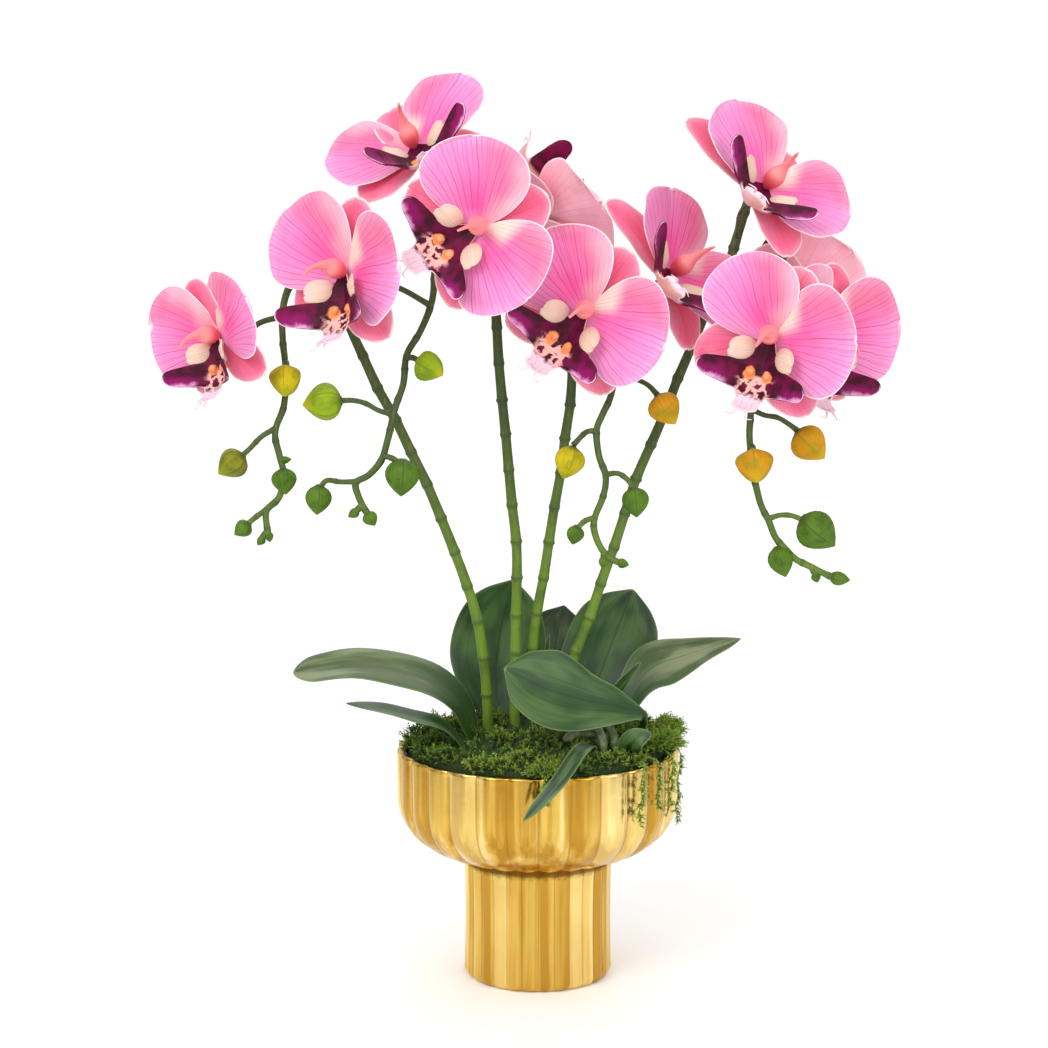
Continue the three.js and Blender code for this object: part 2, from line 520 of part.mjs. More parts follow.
// The lip: a scoop from the column with two wings that rise to the sides and a tip that turns forward,
// two cream ears beside the throat, the callus, and the column with its long spur, in one piece
function lipBody() {
  const half = widths([[0, 2.6], [0.2, 8], [0.4, 30], [0.6, 17], [0.8, 12.5], [1, 4]]);
  const scoop = new THREE.CatmullRomCurve3(
    route([[0, 1, 3.4], [0, -9, 3.6], [0, -17, 4.2], [0, -25, 6], [0, -33, 11], [0, -38, 18], [0, -40, 27]]));
  const middle = (s, v) => {
    const reach = Math.abs(half(s) * v);
    const rise = lipSize.rise * (reach / lipSize.reach) ** 1.25;
    return scoop.getPointAt(s).add(vec(half(s) * v, 0.04 * reach, rise));
  };
  const ear = (hand) => (s, v) => {
    const wide = 1.6 + 5.4 * outline(s, 0.6, 0.5);
    return vec(hand * (5.6 + 8 * s), -6 + 2 * s + wide * v, 5 + (lipSize.ear - 2) * s);
  };
  const column = bar(
    route([[0, 1.5, 3.1], [0, 2.5, 7], [0, 4, 13], [0, 5, 20], [0, 3, 30], [0, -2, lipSize.spur]]),
    widths([[0, 2.2], [0.14, 5], [0.3, 5.4], [0.45, 3], [0.7, 1.4], [1, 0.7]]), 4, 4);
  const bumps = [-5, 5].map((x) => {
    const bump = new THREE.OctahedronGeometry(lipSize.callus, 0);
    bump.setIndex([...Array(bump.attributes.position.count).keys()]);
    bump.translate(x, -19.5, 7.5);
    return solid(bump);
  });
  return joined([
    blade(middle, 5, 4, lipSize.thick),
    blade(ear(1), 2, 1, lipSize.thick),
    blade(ear(-1), 2, 1, lipSize.thick),
    column,
    ...bumps,
  ]);
}

function buildBlooms() {
  const lip = lipBody();
  for (const [letter, place] of Object.entries(blooms)) {
    const frame = bloomFrame(place);
    addNode(`bloom_${letter}`, bloomBody(place).transform(frame.elements), petalPink);
    addNode(`lip_${letter}`, lip.rotate([0, 0, -(place.twist ?? 0)]).transform(frame.elements), lipWine);
  }
}

// Each bloom hangs on a pedicel from its stem to just behind the calyx
function pedicel(place, rings) {
  const frame = bloomFrame(place);
  const behind = (depth) => vec(0, 0, -depth).applyMatrix4(frame);
  const start = vec(...place.from);
  const rest = behind(18);
  const sag = start.clone().lerp(rest, 0.5).add(vec(0, 0, 2));
  const way = place.via ? [...route(place.via), behind(10)] : [sag, rest];
  return bar(rooted([start, ...way, behind(bloomSize.calyx.back + gap)], rings), () => twig, 4, 5);
}

// A twig's route, begun at the nearest ring of its stem so that the two surely join
function rooted(points, rings) {
  const nearest = rings.reduce((best, next) => (points[0].distanceTo(next) < points[0].distanceTo(best) ? next : best));
  return [nearest, ...points.slice(1)];
}

function stemBody({ main, twigs, buds }, number) {
  const points = route(main);
  const path = new THREE.CatmullRomCurve3(points, false, "centripetal");
  const length = path.getLength();
  const steps = Math.round(length / stemSize.step);
  const rings = [...Array(steps + 1).keys()].map((i) => path.getPointAt(i / steps));
  const radiusAt = (share) => {
    const slim = THREE.MathUtils.smoothstep(share, 0.5, 0.8);
    const stout = THREE.MathUtils.lerp(stemSize.foot, stemSize.arch, share);
    return THREE.MathUtils.lerp(stout, stemSize.tip, slim);
  };
  const parts = [bar(points, radiusAt, 5, steps)];
  twigs.forEach((way) => parts.push(bar(rooted(route(way), rings), () => twig, 4, way.length)));
  buds.forEach(({ at, axis, long, wide }) => parts.push(budBody(vec(...at), vec(...axis), long, wide)));
  Object.values(blooms).filter(({ stem }) => stem === number).forEach((place) => parts.push(pedicel(place, rings)));
  return joined(parts);
}

function buildStems() {
  Object.entries(flowerStems).forEach(([name, stem], index) => {
    addNode(name, stemBody(stem, index + 1), stemGreen);
    pegs.push({ x: stem.main[0][0], y: stem.main[0][1], radius: stemSize.foot, room: mossRoom.stem });
  });
}

function buildYellowBuds() {
  for (const [name, { at, axis, long, wide, material }] of Object.entries(yellowBuds)) {
    addNode(name, budBody(vec(...at), vec(...axis), long, wide), material);
  }
}

// Moss: a tufted bed that laps over the rim on the right, with strands that hang outside the wall
const overlaps = [
  { at: [74, -26, 148], size: [16, 17, 9] },
  { at: [80, 4, 151], size: [11, 20, 11] },
  { at: [4, -81, 144.5], size: [13, 8, 4] },
];
const strands = [
  [[80, -28, 147], [83.5, -30, 144], [82.4, -31.5, 130], [81.6, -32, 106]],
  [[75, -36, 146], [78, -43, 144], [77, -44, 134], [76, -44, 120]],
  [[56, -50, 142], [62, -62, 145.6], [60, -66, 138], [58, -67, 112]],
  [[2, -78, 143], [5, -87, 145.6], [4, -89.2, 140], [3, -89.4, 131]],
];
const tufts = [[82, -33.5, 106, 3.4], [77, -45.5, 121, 2.6], [59, -69, 114, 2.2], [3.5, -91, 132, 2.4]];

function lump(at, size, sides) {
  const ball = new THREE.SphereGeometry(1, sides, Math.ceil(sides * 0.6));
  ball.scale(...size);
  ball.translate(...at);
  return solid(ball);
}

function mossBed() {
  const edge = edgeOf(-1) - gap;
  const profile = [[0, moss.base], [edge, moss.base]];
  for (let i = moss.rings; i >= 0; i--) {
    const share = i / moss.rings;
    profile.push([edge * share, THREE.MathUtils.lerp(moss.crown, moss.edge, share ** 2)]);
  }
  const lathe = new THREE.LatheGeometry(profile.map(([r, z]) => new THREE.Vector2(r, z)), moss.columns);
  lathe.rotateX(Math.PI / 2);
  const position = lathe.getAttribute("position");
  for (let k = 0; k < position.count; k++) {
    const [x, y, z] = [position.getX(k), position.getY(k), position.getZ(k)];
    const lift = moss.bump * Math.sin(x * 0.41 + 1.3 * Math.sin(y * 0.23)) * Math.cos(y * 0.37 + x * 0.11);
    if (z > moss.base + 1 && Math.hypot(x, y) > 1) position.setZ(k, z + Math.max(lift, -2));
  }
  return solid(lathe);
}

function buildMoss() {
  const rimRoom = new THREE.LatheGeometry(
    [[edgeOf(-1), 90], [edgeOf(1), 90], [edgeOf(1), pot.height + gap], [edgeOf(-1), pot.height + gap], [edgeOf(-1), 90]]
      .map(([r, z]) => new THREE.Vector2(r, z)), 2 * pot.ribs);
  rimRoom.rotateX(Math.PI / 2);
  const grown = joined([
    mossBed(),
    ...overlaps.map(({ at, size }) => lump(at, size, 7)),
  ]).subtract(solid(rimRoom));
  const hanging = [
    ...strands.map((way) => bar(route(way), () => 1.3, 4, 5)),
    ...tufts.map(([x, y, z, size]) => lump([x, y, z], [size, size, size * 1.6], 5)),
  ];
  const cuts = [
    ...pegs.map(({ x, y, radius, room }) => peg(x, y, radius + room, moss.base - 5, moss.crown + 20)),
    ...roots.fingers.map((way) => bar(route(way), () => roots.radius + 2 * gap, 6, 6)),
  ];
  addNode("moss", largest(joined([grown, ...hanging]).subtract(joined(cuts))), mossGreen);
}

// The wall's inner (-1) and outer (1) radius at the rim, with the gap that moss keeps to it
function edgeOf(side) {
  return side > 0 ? pot.rim + 2 * gap : pot.rim - pot.wall - 3 * gap;
}

buildPot();
buildLeaves();
buildRoots();
buildStems();
buildYellowBuds();
buildBlooms();
buildFill();
buildMoss();

export default group;
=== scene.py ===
import math

import bpy
import numpy as np
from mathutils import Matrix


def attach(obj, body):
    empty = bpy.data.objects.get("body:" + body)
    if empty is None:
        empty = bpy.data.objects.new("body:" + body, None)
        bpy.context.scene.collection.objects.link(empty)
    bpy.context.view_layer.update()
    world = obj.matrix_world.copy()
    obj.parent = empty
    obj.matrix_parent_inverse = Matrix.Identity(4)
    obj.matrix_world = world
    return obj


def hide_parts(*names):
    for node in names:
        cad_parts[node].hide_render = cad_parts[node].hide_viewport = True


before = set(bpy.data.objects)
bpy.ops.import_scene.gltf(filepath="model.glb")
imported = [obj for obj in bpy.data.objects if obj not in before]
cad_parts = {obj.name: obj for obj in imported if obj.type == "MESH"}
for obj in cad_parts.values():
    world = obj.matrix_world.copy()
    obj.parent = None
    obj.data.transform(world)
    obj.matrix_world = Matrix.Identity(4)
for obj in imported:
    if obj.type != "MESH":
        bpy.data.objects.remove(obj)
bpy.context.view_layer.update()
mm = 0.001
fullTurn = 2 * math.pi
edgeUnit = 10                            # millimetres from an edge for each 1 in a mark
footHeight = 105                         # leaves and roots end at this height, inside the fill
rng = np.random.default_rng(12)
print("frame loaded:", len(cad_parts), "nodes")


# Shader sums written as Python sums

class Socket:
    def __init__(self, paint, plug):
        self.paint = paint
        self.plug = plug

    def calc(self, operation, *others):
        return self.paint.make("Math", {"operation": operation}, dict(enumerate((self, *others))))

    def __add__(self, other):
        return self.calc("ADD", other)

    def __sub__(self, other):
        return self.calc("SUBTRACT", other)

    def __rsub__(self, other):
        return self.paint.make("Math", {"operation": "SUBTRACT"}, {0: other, 1: self})

    def __mul__(self, other):
        return self.calc("MULTIPLY", other)

    def __truediv__(self, other):
        return self.calc("DIVIDE", other)

    def __pow__(self, other):
        return self.calc("POWER", other)

    __radd__ = __add__
    __rmul__ = __mul__

    def size(self):
        return self.calc("ABSOLUTE")

    def wave(self):
        return self.calc("SINE").size()

    # one wave for each unit
    def ridges(self):
        return (self * math.pi).wave()

    # 0 below low, 1 above high, smooth between
    def step(self, low, high):
        values = {"Value": self, "From Min": low, "From Max": high}
        return self.paint.make("MapRange", {"interpolation_type": "SMOOTHSTEP"}, values)

    # 1 below low, 0 above high
    def fade(self, low, high):
        return 1 - self.step(low, high)


class Paint:
    def __init__(self, tree):
        self.tree = tree

    def make(self, kind, settings=None, values=None, out=0):
        node = self.tree.nodes.new("ShaderNode" + kind)
        for key, value in (settings or {}).items():
            if key == "stops":
                stops = node.color_ramp.elements
                for k, (at, color) in enumerate(value):
                    stop = stops[k] if k < len(stops) else stops.new(at)
                    stop.position, stop.color = at, (*color, 1)
            else:
                setattr(node, key, value)
        for key, value in (values or {}).items():
            self.plugIn(node.inputs[key], value)
        return Socket(self, node.outputs[out])

    def plugIn(self, plug, value):
        if isinstance(value, Socket):
            self.tree.links.new(value.plug, plug)
        elif isinstance(value, tuple) and len(value) == 3 and len(plug.default_value) == 4:
            plug.default_value = (*value, 1)
        else:
            plug.default_value = value

    def mix(self, share, first, second):
        return self.make("Mix", {"data_type": "RGBA"}, {0: share, 6: first, 7: second}, 2)

    # coats of colour laid on one after the other, each by its share
    def layers(self, color, *coats):
        for share, coat in coats:
            color = self.mix(share, color, coat)
        return color

    def join(self, x, y, z):
        return self.make("CombineXYZ", None, {0: x, 1: y, 2: z})


class Finish(Paint):
    def __init__(self, name, **constants):
        self.material = bpy.data.materials.new(name)
        self.material.use_nodes = True
        super().__init__(self.material.node_tree)
        self.shader = self.tree.nodes["Principled BSDF"]
        for key, value in constants.items():
            self.plugIn(self.shader.inputs[key.replace("_", " ")], value)
        self.where = self.make("TexCoord", None, None, "Object")

    def noise(self, scale, detail=3, rough=0.55, where=None):
        values = {"Vector": where or self.where, "Scale": scale, "Detail": detail, "Roughness": rough}
        return self.make("TexNoise", None, values)

    def stretch(self, by):
        return self.make("VectorMath", {"operation": "MULTIPLY"}, {0: self.where, 1: by})

    def mark(self, name):
        vector = self.make("UVMap", {"uv_map": name})
        return [self.make("SeparateXYZ", None, {0: vector}, k) for k in (0, 1)]

    def marks(self):
        return self.mark("mark") + self.mark("extra")

    def wear(self, color, roughness=None, relief=None, strength=None, depth=None):
        self.plugIn(self.shader.inputs["Base Color"], color)
        if roughness is not None:
            self.plugIn(self.shader.inputs["Roughness"], roughness)
        if relief is not None:
            bump = self.make("Bump", None, {"Height": relief, "Strength": strength, "Distance": depth})
            self.plugIn(self.shader.inputs["Normal"], bump)
        return self.material


def rgb(red, green, blue):
    def linear(value):
        value /= 255
        return value / 12.92 if value < 0.04045 else ((value + 0.055) / 1.055) ** 2.4
    return (linear(red), linear(green), linear(blue))


# Curves and meshes, in millimetres

# the curve that three.js calls centripetal Catmull-Rom
def smoothRoute(points, fine=24):
    p = np.array(points, float)
    p = np.vstack([2 * p[0] - p[1], p, 2 * p[-1] - p[-2]])
    line = []
    for k in range(len(p) - 3):
        x0, x1, x2, x3 = p[k:k + 4]
        d0, d1, d2 = np.maximum(np.linalg.norm(np.diff(p[k:k + 4], axis=0), axis=1), 1e-6) ** 0.5
        t1 = ((x1 - x0) / d0 - (x2 - x0) / (d0 + d1) + (x2 - x1) / d1) * d1
        t2 = ((x2 - x1) / d1 - (x3 - x1) / (d1 + d2) + (x3 - x2) / d2) * d1
        for t in np.linspace(0, 1, fine, endpoint=False):
            line.append(x1 + t1 * t + (3 * (x2 - x1) - 2 * t1 - t2) * t * t
                        + (2 * (x1 - x2) + t1 + t2) * t ** 3)
    line.append(p[-2])
    return np.array(line)


class Route:
    def __init__(self, points):
        self.line = smoothRoute(points)
        steps = np.linalg.norm(np.diff(self.line, axis=0), axis=1)
        self.run = np.concatenate([[0], np.cumsum(steps)])
        self.length = self.run[-1]

    def at(self, share):
        distance = np.asarray(share) * self.length
        return np.stack([np.interp(distance, self.run, self.line[:, k]) for k in range(3)], -1)

    def heading(self, share):
        step = 1e-3
        ahead = self.at(np.clip(np.asarray(share) + step, 0, 1))
        behind = self.at(np.clip(np.asarray(share) - step, 0, 1))
        return unit(ahead - behind)


def unit(vectors):
    return vectors / np.maximum(np.linalg.norm(vectors, axis=-1, keepdims=True), 1e-9)


def widths(pairs):
    p = np.array(pairs, float)
    p = np.vstack([p[:1], p, p[-1:]])
    line = []
    for k in range(len(p) - 3):
        p0, p1, p2, p3 = p[k:k + 4]
        v0, v1 = (p2 - p0) / 2, (p3 - p1) / 2
        for t in np.linspace(0, 1, 20, endpoint=False):
            line.append((2 * p1 - 2 * p2 + v0 + v1) * t ** 3 + (3 * p2 - 3 * p1 - 2 * v0 - v1) * t * t
                        + v0 * t + p1)
    line.append(p[-2])
    line = np.array(line)
    return lambda share: np.interp(share, line[:, 0], line[:, 1])


def outline(share, rise, fall):
    peak = rise / (rise + fall)
    return share ** rise * (1 - share) ** fall / (peak ** rise * (1 - peak) ** fall)


def ease(value, low, high):
    t = np.clip((value - low) / (high - low), 0, 1)
    return t * t * (3 - 2 * t)


# 1 up to start, then rounded off as a finger's end is
def rounded(share, start, long, least):
    return np.sqrt(np.clip(1 - (np.clip(share - start, 0, 1) / long) ** 2, least, 1))


def pairs(first, second):
    return np.stack(np.broadcast_arrays(first, second), -1)


# steps that lie closer together towards -1 and 1
def crowded(low, high, count):
    return np.sin(np.linspace(low, high, count) * np.pi / 2)


def circle(count):
    return np.linspace(0, fullTurn, count, endpoint=False)


def ringRound(first, second, turn):
    return first * np.cos(turn)[:, None] + second * np.sin(turn)[:, None]


# grids and tubes gathered into one mesh, each vertex with two pairs of marks for its finish
class Shape:
    def __init__(self):
        self.points, self.marks, self.extras = [], [], []
        self.faces, self.slots = [], []
        self.count = 0

    def add(self, points, faces, marks, extras=(0, 0), slot=0):
        points = np.asarray(points, float).reshape(-1, 3)
        self.points.append(points)
        for kept, values in ((self.marks, marks), (self.extras, extras)):
            kept.append(np.broadcast_to(np.reshape(values, (-1, 2)), (len(points), 2)))
        self.faces.append(faces + self.count)
        self.slots.append(np.broadcast_to(slot, len(faces)))
        self.count += len(points)

    # triangles over points that were added last
    def fill(self, triangles, points, slot=0):
        triangles = np.asarray(triangles, int) + self.count - points
        self.faces.append(np.hstack([triangles, np.full((len(triangles), 1), -1)]))
        self.slots.append(np.broadcast_to(slot, len(triangles)))

    def build(self, name, finishes, smooth=True):
        points = np.vstack(self.points) * mm
        faces = np.vstack(self.faces)
        corners = faces[faces >= 0]
        sizes = (faces >= 0).sum(1)
        mesh = bpy.data.meshes.new(name)
        mesh.vertices.add(len(points))
        mesh.vertices.foreach_set("co", points.reshape(-1))
        mesh.loops.add(len(corners))
        mesh.loops.foreach_set("vertex_index", corners)
        mesh.polygons.add(len(faces))
        mesh.polygons.foreach_set("loop_start", np.concatenate([[0], np.cumsum(sizes)[:-1]]))
        mesh.polygons.foreach_set("material_index", np.concatenate(self.slots).astype(int))
        mesh.update(calc_edges=True)
        mesh.polygons.foreach_set("use_smooth", np.full(len(faces), smooth))
        for label, values in (("mark", self.marks), ("extra", self.extras)):
            layer = mesh.uv_layers.new(name=label)
            layer.data.foreach_set("uv", np.vstack(values)[corners].reshape(-1))
        for finish in finishes:
            mesh.materials.append(finish)
        mesh.validate()
        piece = bpy.data.objects.new(name, mesh)
        bpy.context.scene.collection.objects.link(piece)
        return piece


def gridFaces(rows, columns, wrap=False):
    across = columns if wrap else columns + 1
    i, j = np.meshgrid(np.arange(rows), np.arange(columns), indexing="ij")
    a = i * across + j
    b = i * across + (j + 1) % across
    return np.stack([a, b, b + across, a + across], -1).reshape(-1, 4)


# rings of points joined into a closed skin
def addRings(shape, points, marks, extras, slot):
    rows, sides = points.shape[:2]
    last = (rows - 1) * sides
    caps = [[0, k + 1, k] for k in range(1, sides - 1)]
    caps += [[last, last + k, last + k + 1] for k in range(1, sides - 1)]
    shape.add(points, gridFaces(rows - 1, sides, wrap=True), marks, extras, slot)
    shape.fill(caps, rows * sides, slot)


def addTube(shape, middle, radii, sides, marks=None, slot=0, extras=(0, 0)):
    middle = np.asarray(middle, float)
    heading = unit(np.gradient(middle, axis=0))
    normal = np.zeros_like(middle)
    normal[0] = unit(np.cross(heading[0], [0.3, 0.9, 0.2]))
    for k in range(1, len(middle)):
        normal[k] = unit(normal[k - 1] - heading[k] * np.dot(normal[k - 1], heading[k]))
    turn = circle(sides)
    ring = ringRound(normal[:, None], np.cross(heading, normal)[:, None], turn)
    points = middle[:, None] + ring * np.broadcast_to(radii, len(middle))[:, None, None]
    if marks is None:
        run = np.concatenate([[0], np.cumsum(np.linalg.norm(np.diff(middle, axis=0), axis=1))])
        marks = pairs(run[:, None] / 100, turn / fullTurn)
    addRings(shape, points, marks, extras, slot)


# a closed blade round a middle grid; front, back and rim take their own slots
def addBlade(shape, middle, thickness, marks, extras, slots):
    rows, columns = middle.shape[:2]
    normal = unit(np.cross(np.gradient(middle, axis=1), np.gradient(middle, axis=0)))
    half = normal * np.broadcast_to(thickness, (rows, columns))[..., None] / 2
    extras = np.broadcast_to(extras, marks.shape)
    faces = gridFaces(rows - 1, columns - 1)
    under = rows * columns
    grid = np.arange(under).reshape(rows, columns)
    loop = np.concatenate([grid[0], grid[1:, -1], grid[-1, -2::-1], grid[-2:0:-1, 0]])
    after = np.roll(loop, -1)
    rim = np.stack([loop, loop + under, after + under, after], -1)
    points = np.concatenate([middle + half, middle - half])
    both = np.concatenate([faces, faces[:, ::-1] + under, rim])
    slot = np.repeat(slots, (len(faces), len(faces), len(rim)))
    shape.add(points, both, np.concatenate([marks, marks]), np.concatenate([extras, extras]), slot)


def addEgg(shape, at, axis, long, profile, sides, ridge, ridges, slot, extras=(0, 0)):
    axis = unit(np.array(axis, float))
    first = unit(np.cross(axis, [0.2, 0.9, 0.35]))
    turn = circle(sides)
    share, radius = np.array(profile).T[..., None]
    sector = np.pi / ridges
    facet = np.cos(sector) / np.cos(turn % (2 * sector) - sector)
    swell = 1 + ridge * (facet - (1 + np.cos(sector)) / 2)
    ring = ringRound(first, np.cross(axis, first), turn)
    points = np.array(at, float) + axis * (share * long)[..., None] + ring * (radius * swell)[..., None]
    addRings(shape, points, pairs(share, turn / fullTurn), extras, slot)


def settle(piece, node):
    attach(piece, "root")
    if node:
        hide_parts(node)


# Pot

pot = {
    "height": 142, "rim": 85.5, "wall": 5, "foot": 45, "waist": 76, "shoulder": 112,
    "lip": 1.2, "floor": 7, "footRound": (4.5, 5), "span": 150,
    "ribs": 28, "bowlDepth": 2.2, "footDepth": 1.5, "perRib": 10,
    # of these golds the palest is a painted highlight, and the groove and joint golds are painted shade
    "gold": rgb(226, 188, 92), "deepGold": rgb(188, 142, 50), "highlightGold": rgb(252, 228, 158),
    "grooveShadeGold": rgb(150, 106, 30), "jointShadeGold": rgb(116, 74, 12),
}


def goldFinish():
    f = Finish("platedGold", Metallic=1.0)
    height = f.mark("mark")[0] * pot["span"]
    around, rib = f.mark("extra")        # rib: 0 on the middle of a rib, 1 in the groove
    cloud = f.noise(30, 4)
    # streak: light and dark vertical bands with pale lines, painted reflection and highlight in the colour;
    # it also feeds the roughness and bump
    streak = f.noise(110, 4, where=f.stretch((1, 1, 0.03)))
    fine = f.noise(900, 2)
    # facet: one random brightness for each rib, as if each rib mirrored a different part of the room: painted
    # reflection
    ribNumber = (around * pot["ribs"]).calc("FLOOR")
    facet = f.make("TexWhiteNoise", {"noise_dimensions": "1D"}, {"W": ribNumber})
    # joint: a dark band in the crease where the bowl meets the foot, painted shade
    joint = (height - pot["waist"] + 1.0 + rib * 1.8).size().fade(1.4, 4.6)
    # the streak and facet coats are painted reflection and highlight
    color = f.layers(
        pot["deepGold"], (streak.step(0.4, 0.56), pot["gold"]),
        (streak.step(0.56, 0.66) * 0.8, pot["highlightGold"]), (facet.step(0.55, 0.95) * 0.5, pot["highlightGold"]),
        (facet.fade(0.05, 0.4) * 0.45, pot["deepGold"]), (cloud.step(0.4, 0.75) * 0.25, pot["deepGold"]),
        # darker gold in each groove and in the crease at the waist: painted shade
        (rib.step(0.78, 1.0) * 0.5, pot["grooveShadeGold"]), (joint * 0.8, pot["jointShadeGold"]))
    rough = 0.13 + cloud * 0.1 + streak * 0.06 + joint * 0.4
    return f.wear(color, rough, streak * 0.8 + fine * 0.05 + cloud * 0.9, 0.35, 0.5 * mm)


# rows of radius, height and how far the grooves are cut in there
def potProfile():
    rim, foot, waist, shoulder, high = (pot[k] for k in ("rim", "foot", "waist", "shoulder", "height"))
    wide, tall = pot["footRound"]
    edge, bottom = pot["lip"], waist + 2
    inner, well = rim - pot["wall"], foot - pot["wall"] - 1
    rows = [(0, 0, 0), (foot - 12, 0, 0), (foot - wide, 0, 0)]
    rows += [(foot - wide + wide * math.sin(a), tall - tall * math.cos(a), 0.3 + 0.7 * math.sin(a))
             for a in np.linspace(0.2, math.pi / 2, 7)]
    rows += [(foot - 0.6 * math.sin(math.pi * k / 10), tall + (waist - 7) * k / 10, 1) for k in range(1, 11)]
    rows += [(foot - 0.6, waist - 1, 0.9), (foot - 0.6, waist + 0.4, 1.0), (foot + 1.6, waist + 0.9, 1.3)]
    rows += [(foot + 3 + (rim - foot - 3) * math.sin(a),
              bottom + (shoulder - bottom) * (1 - math.cos(a)), 1.15)
             for a in np.linspace(0.02, math.pi / 2, 22)]
    rows += [(rim, z, 1) for z in np.linspace(shoulder + 3, high - 2, 10)]
    rows += [(rim - edge + edge * math.cos(a), high - edge + edge * math.sin(a), 1 - 0.3 * a)
             for a in np.linspace(0.2, 1.57, 4)]
    rows += [(inner + 1, high, 0.25), (inner, high - 1, 0.15), (inner, high - 8, 0),
             (inner, shoulder, 0), (inner * 0.8, waist + 14, 0), (well, waist + 6, 0),
             (well, pot["floor"], 0), (0, pot["floor"], 0)]
    return np.array(rows).T[..., None]


def makePot():
    r, z, share = potProfile()
    waist, columns = pot["waist"], pot["ribs"] * pot["perRib"]
    turn = circle(columns)
    groove = np.abs(2 * (turn * pot["ribs"] / fullTurn % 1) - 1) ** 2.2
    wobble = 0.1 * np.sin(turn * 11 + 1.3) + 0.08 * np.sin(turn * 37)
    depth = pot["footDepth"] + (pot["bowlDepth"] - pot["footDepth"]) * ease(z, waist, pot["shoulder"])
    radius = r - share * (depth * groove + wobble)
    lift = 1.5 * (groove - 0.5) * np.exp(-((z - waist) / 4) ** 2) * share
    dip = -0.9 * groove * share * ease(z, pot["height"] - 4, pot["height"])
    points = np.stack([radius * np.sin(turn), -radius * np.cos(turn), z + lift + dip], -1)
    marks = pairs(z / pot["span"], turn / fullTurn)
    ribs = pairs(turn / fullTurn, groove * np.minimum(share, 1))
    shape = Shape()
    shape.add(points, gridFaces(len(z) - 1, columns, wrap=True), marks, ribs)
    piece = shape.build("pot_gold", [goldFinish()])
    weld(piece)
    settle(piece, "pot")


# the double points on the pot's axis become one
def weld(piece):
    tool = piece.modifiers.new("weld", "WELD")
    tool.merge_threshold = 0.02 * mm
    graph = bpy.context.evaluated_depsgraph_get()
    mesh = bpy.data.meshes.new_from_object(piece.evaluated_get(graph), depsgraph=graph)
    piece.modifiers.clear()
    piece.data = mesh


makePot()
print("pot done")

# Leaves

leaves = {
    "leaf_back_left": dict(rib=[(-21, 29, 146), (-26, 37, 172), (-23, 42, 205), (-15, 40, 237)],
                           face=[(0, -1, 0.05), (0.05, -1, 0.1)],
                           width=[(0, 5), (0.28, 22), (0.5, 29.5), (0.8, 24), (1, 5)]),
    "leaf_back_right": dict(rib=[(29, 27, 146), (36, 34, 170), (48, 40, 202), (59, 40, 231)],
                            face=[(-0.2, -1, 0.1), (-0.1, -1, 0.1)],
                            width=[(0, 5), (0.28, 22), (0.5, 28), (0.8, 24), (1, 5)]),
    "leaf_back": dict(rib=[(6, 46, 146), (9, 56, 175), (13, 64, 200), (17, 72, 215)],
                      face=[(0, -1, 0.4), (0, -0.8, 0.7)],
                      width=[(0, 5), (0.3, 15), (0.65, 20), (0.85, 15), (1, 3)]),
    "leaf_right_long": dict(rib=[(50, 4, 146), (54, 8, 166), (68, 13, 185), (94, 20, 194), (125, 29, 202)],
                            face=[(-0.35, -0.85, 0.4), (-0.2, -0.6, 0.8)],
                            width=[(0, 5), (0.3, 11), (0.5, 17), (0.75, 10), (1, 2)]),
    "leaf_right_low": dict(rib=[(53, -42, 145), (53, -50, 152), (57, -56, 159), (66, -57, 163)],
                           face=[(0, -1, 0.3), (0, -1, 0.3)],
                           width=[(0, 4), (0.4, 7), (0.7, 6.5), (1, 1.5)]),
    "leaf_front": dict(rib=[(56, -20, 146), (63, -32, 166), (48, -44, 175), (26, -52, 181), (2, -59, 190),
                            (-20, -64, 203)],
                       face=[(-0.3, -0.75, 0.6), (0.25, -0.85, 0.55)],
                       width=[(0, 4), (0.22, 3.5), (0.45, 14), (0.72, 24.5), (0.9, 18), (1, 5)]),
    "leaf_left_long": dict(rib=[(-38, -16, 146), (-47, -17, 170), (-68, -20, 187), (-104, -26, 196),
                                (-145, -32, 193)],
                           face=[(0.5, -0.35, 0.8), (-0.1, -0.35, 0.94)],
                           width=[(0, 5), (0.25, 15), (0.5, 16), (0.8, 13.5), (0.93, 12), (1, 9)], turn=-6),
    "leaf_left_low": dict(rib=[(-42, -36, 146), (-54, -38, 160), (-76, -41, 169), (-96, -44, 174),
                               (-113, -46, 178)],
                          face=[(0.3, -0.1, 0.95), (0, -0.05, 1)],
                          width=[(0, 4), (0.3, 11), (0.6, 12), (0.85, 8), (1, 3)]),
    "leaf_over_rim": dict(rib=[(32, -60, 146), (31, -64, 156), (24, -82, 158), (10, -97, 142),
                               (-9, -102, 122)],
                          face=[(0, -0.4, 0.9), (-0.1, -0.9, 0.4)],
                          width=[(0, 2.5), (0.3, 4.6), (0.6, 4.6), (0.85, 3.4), (1, 1.2)]),
    "sprout_right": dict(rib=[(42, -12, 146), (43, -16, 172), (50, -19, 184), (61, -22, 198)],
                         face=[(0, -1, 0.1), (0.2, -1, 0.1)], width=[(0, 2), (0.5, 4), (1, 1.4)]),
    "sprout_left": dict(rib=[(4, 30, 146), (4, 26, 170), (5, 24, 190), (7, 24, 206)],
                        face=[(0, -1, 0), (0.1, -1, 0)], width=[(0, 1.6), (0.5, 2.6), (1, 1.2)]),
}
# leaf colours: sheen and paleSheen are painted highlight; the pale colours make a lighter copy painted as
# sheen on the two long leaves, and under a darker copy painted as shade on the undersides
leafLook = {
    "thick": 1.3, "rows": 44, "columns": 22, "long": 60, "fold": 0.14, "deep": rgb(8, 36, 4),
    "mid": rgb(22, 64, 10),
    "sheen": rgb(88, 122, 62), "edge": rgb(120, 146, 84), "root": rgb(70, 104, 26), "under": rgb(18, 40, 14),
    "pale": rgb(78, 98, 56), "paleDeep": rgb(50, 74, 34), "paleSheen": rgb(128, 138, 104),
}


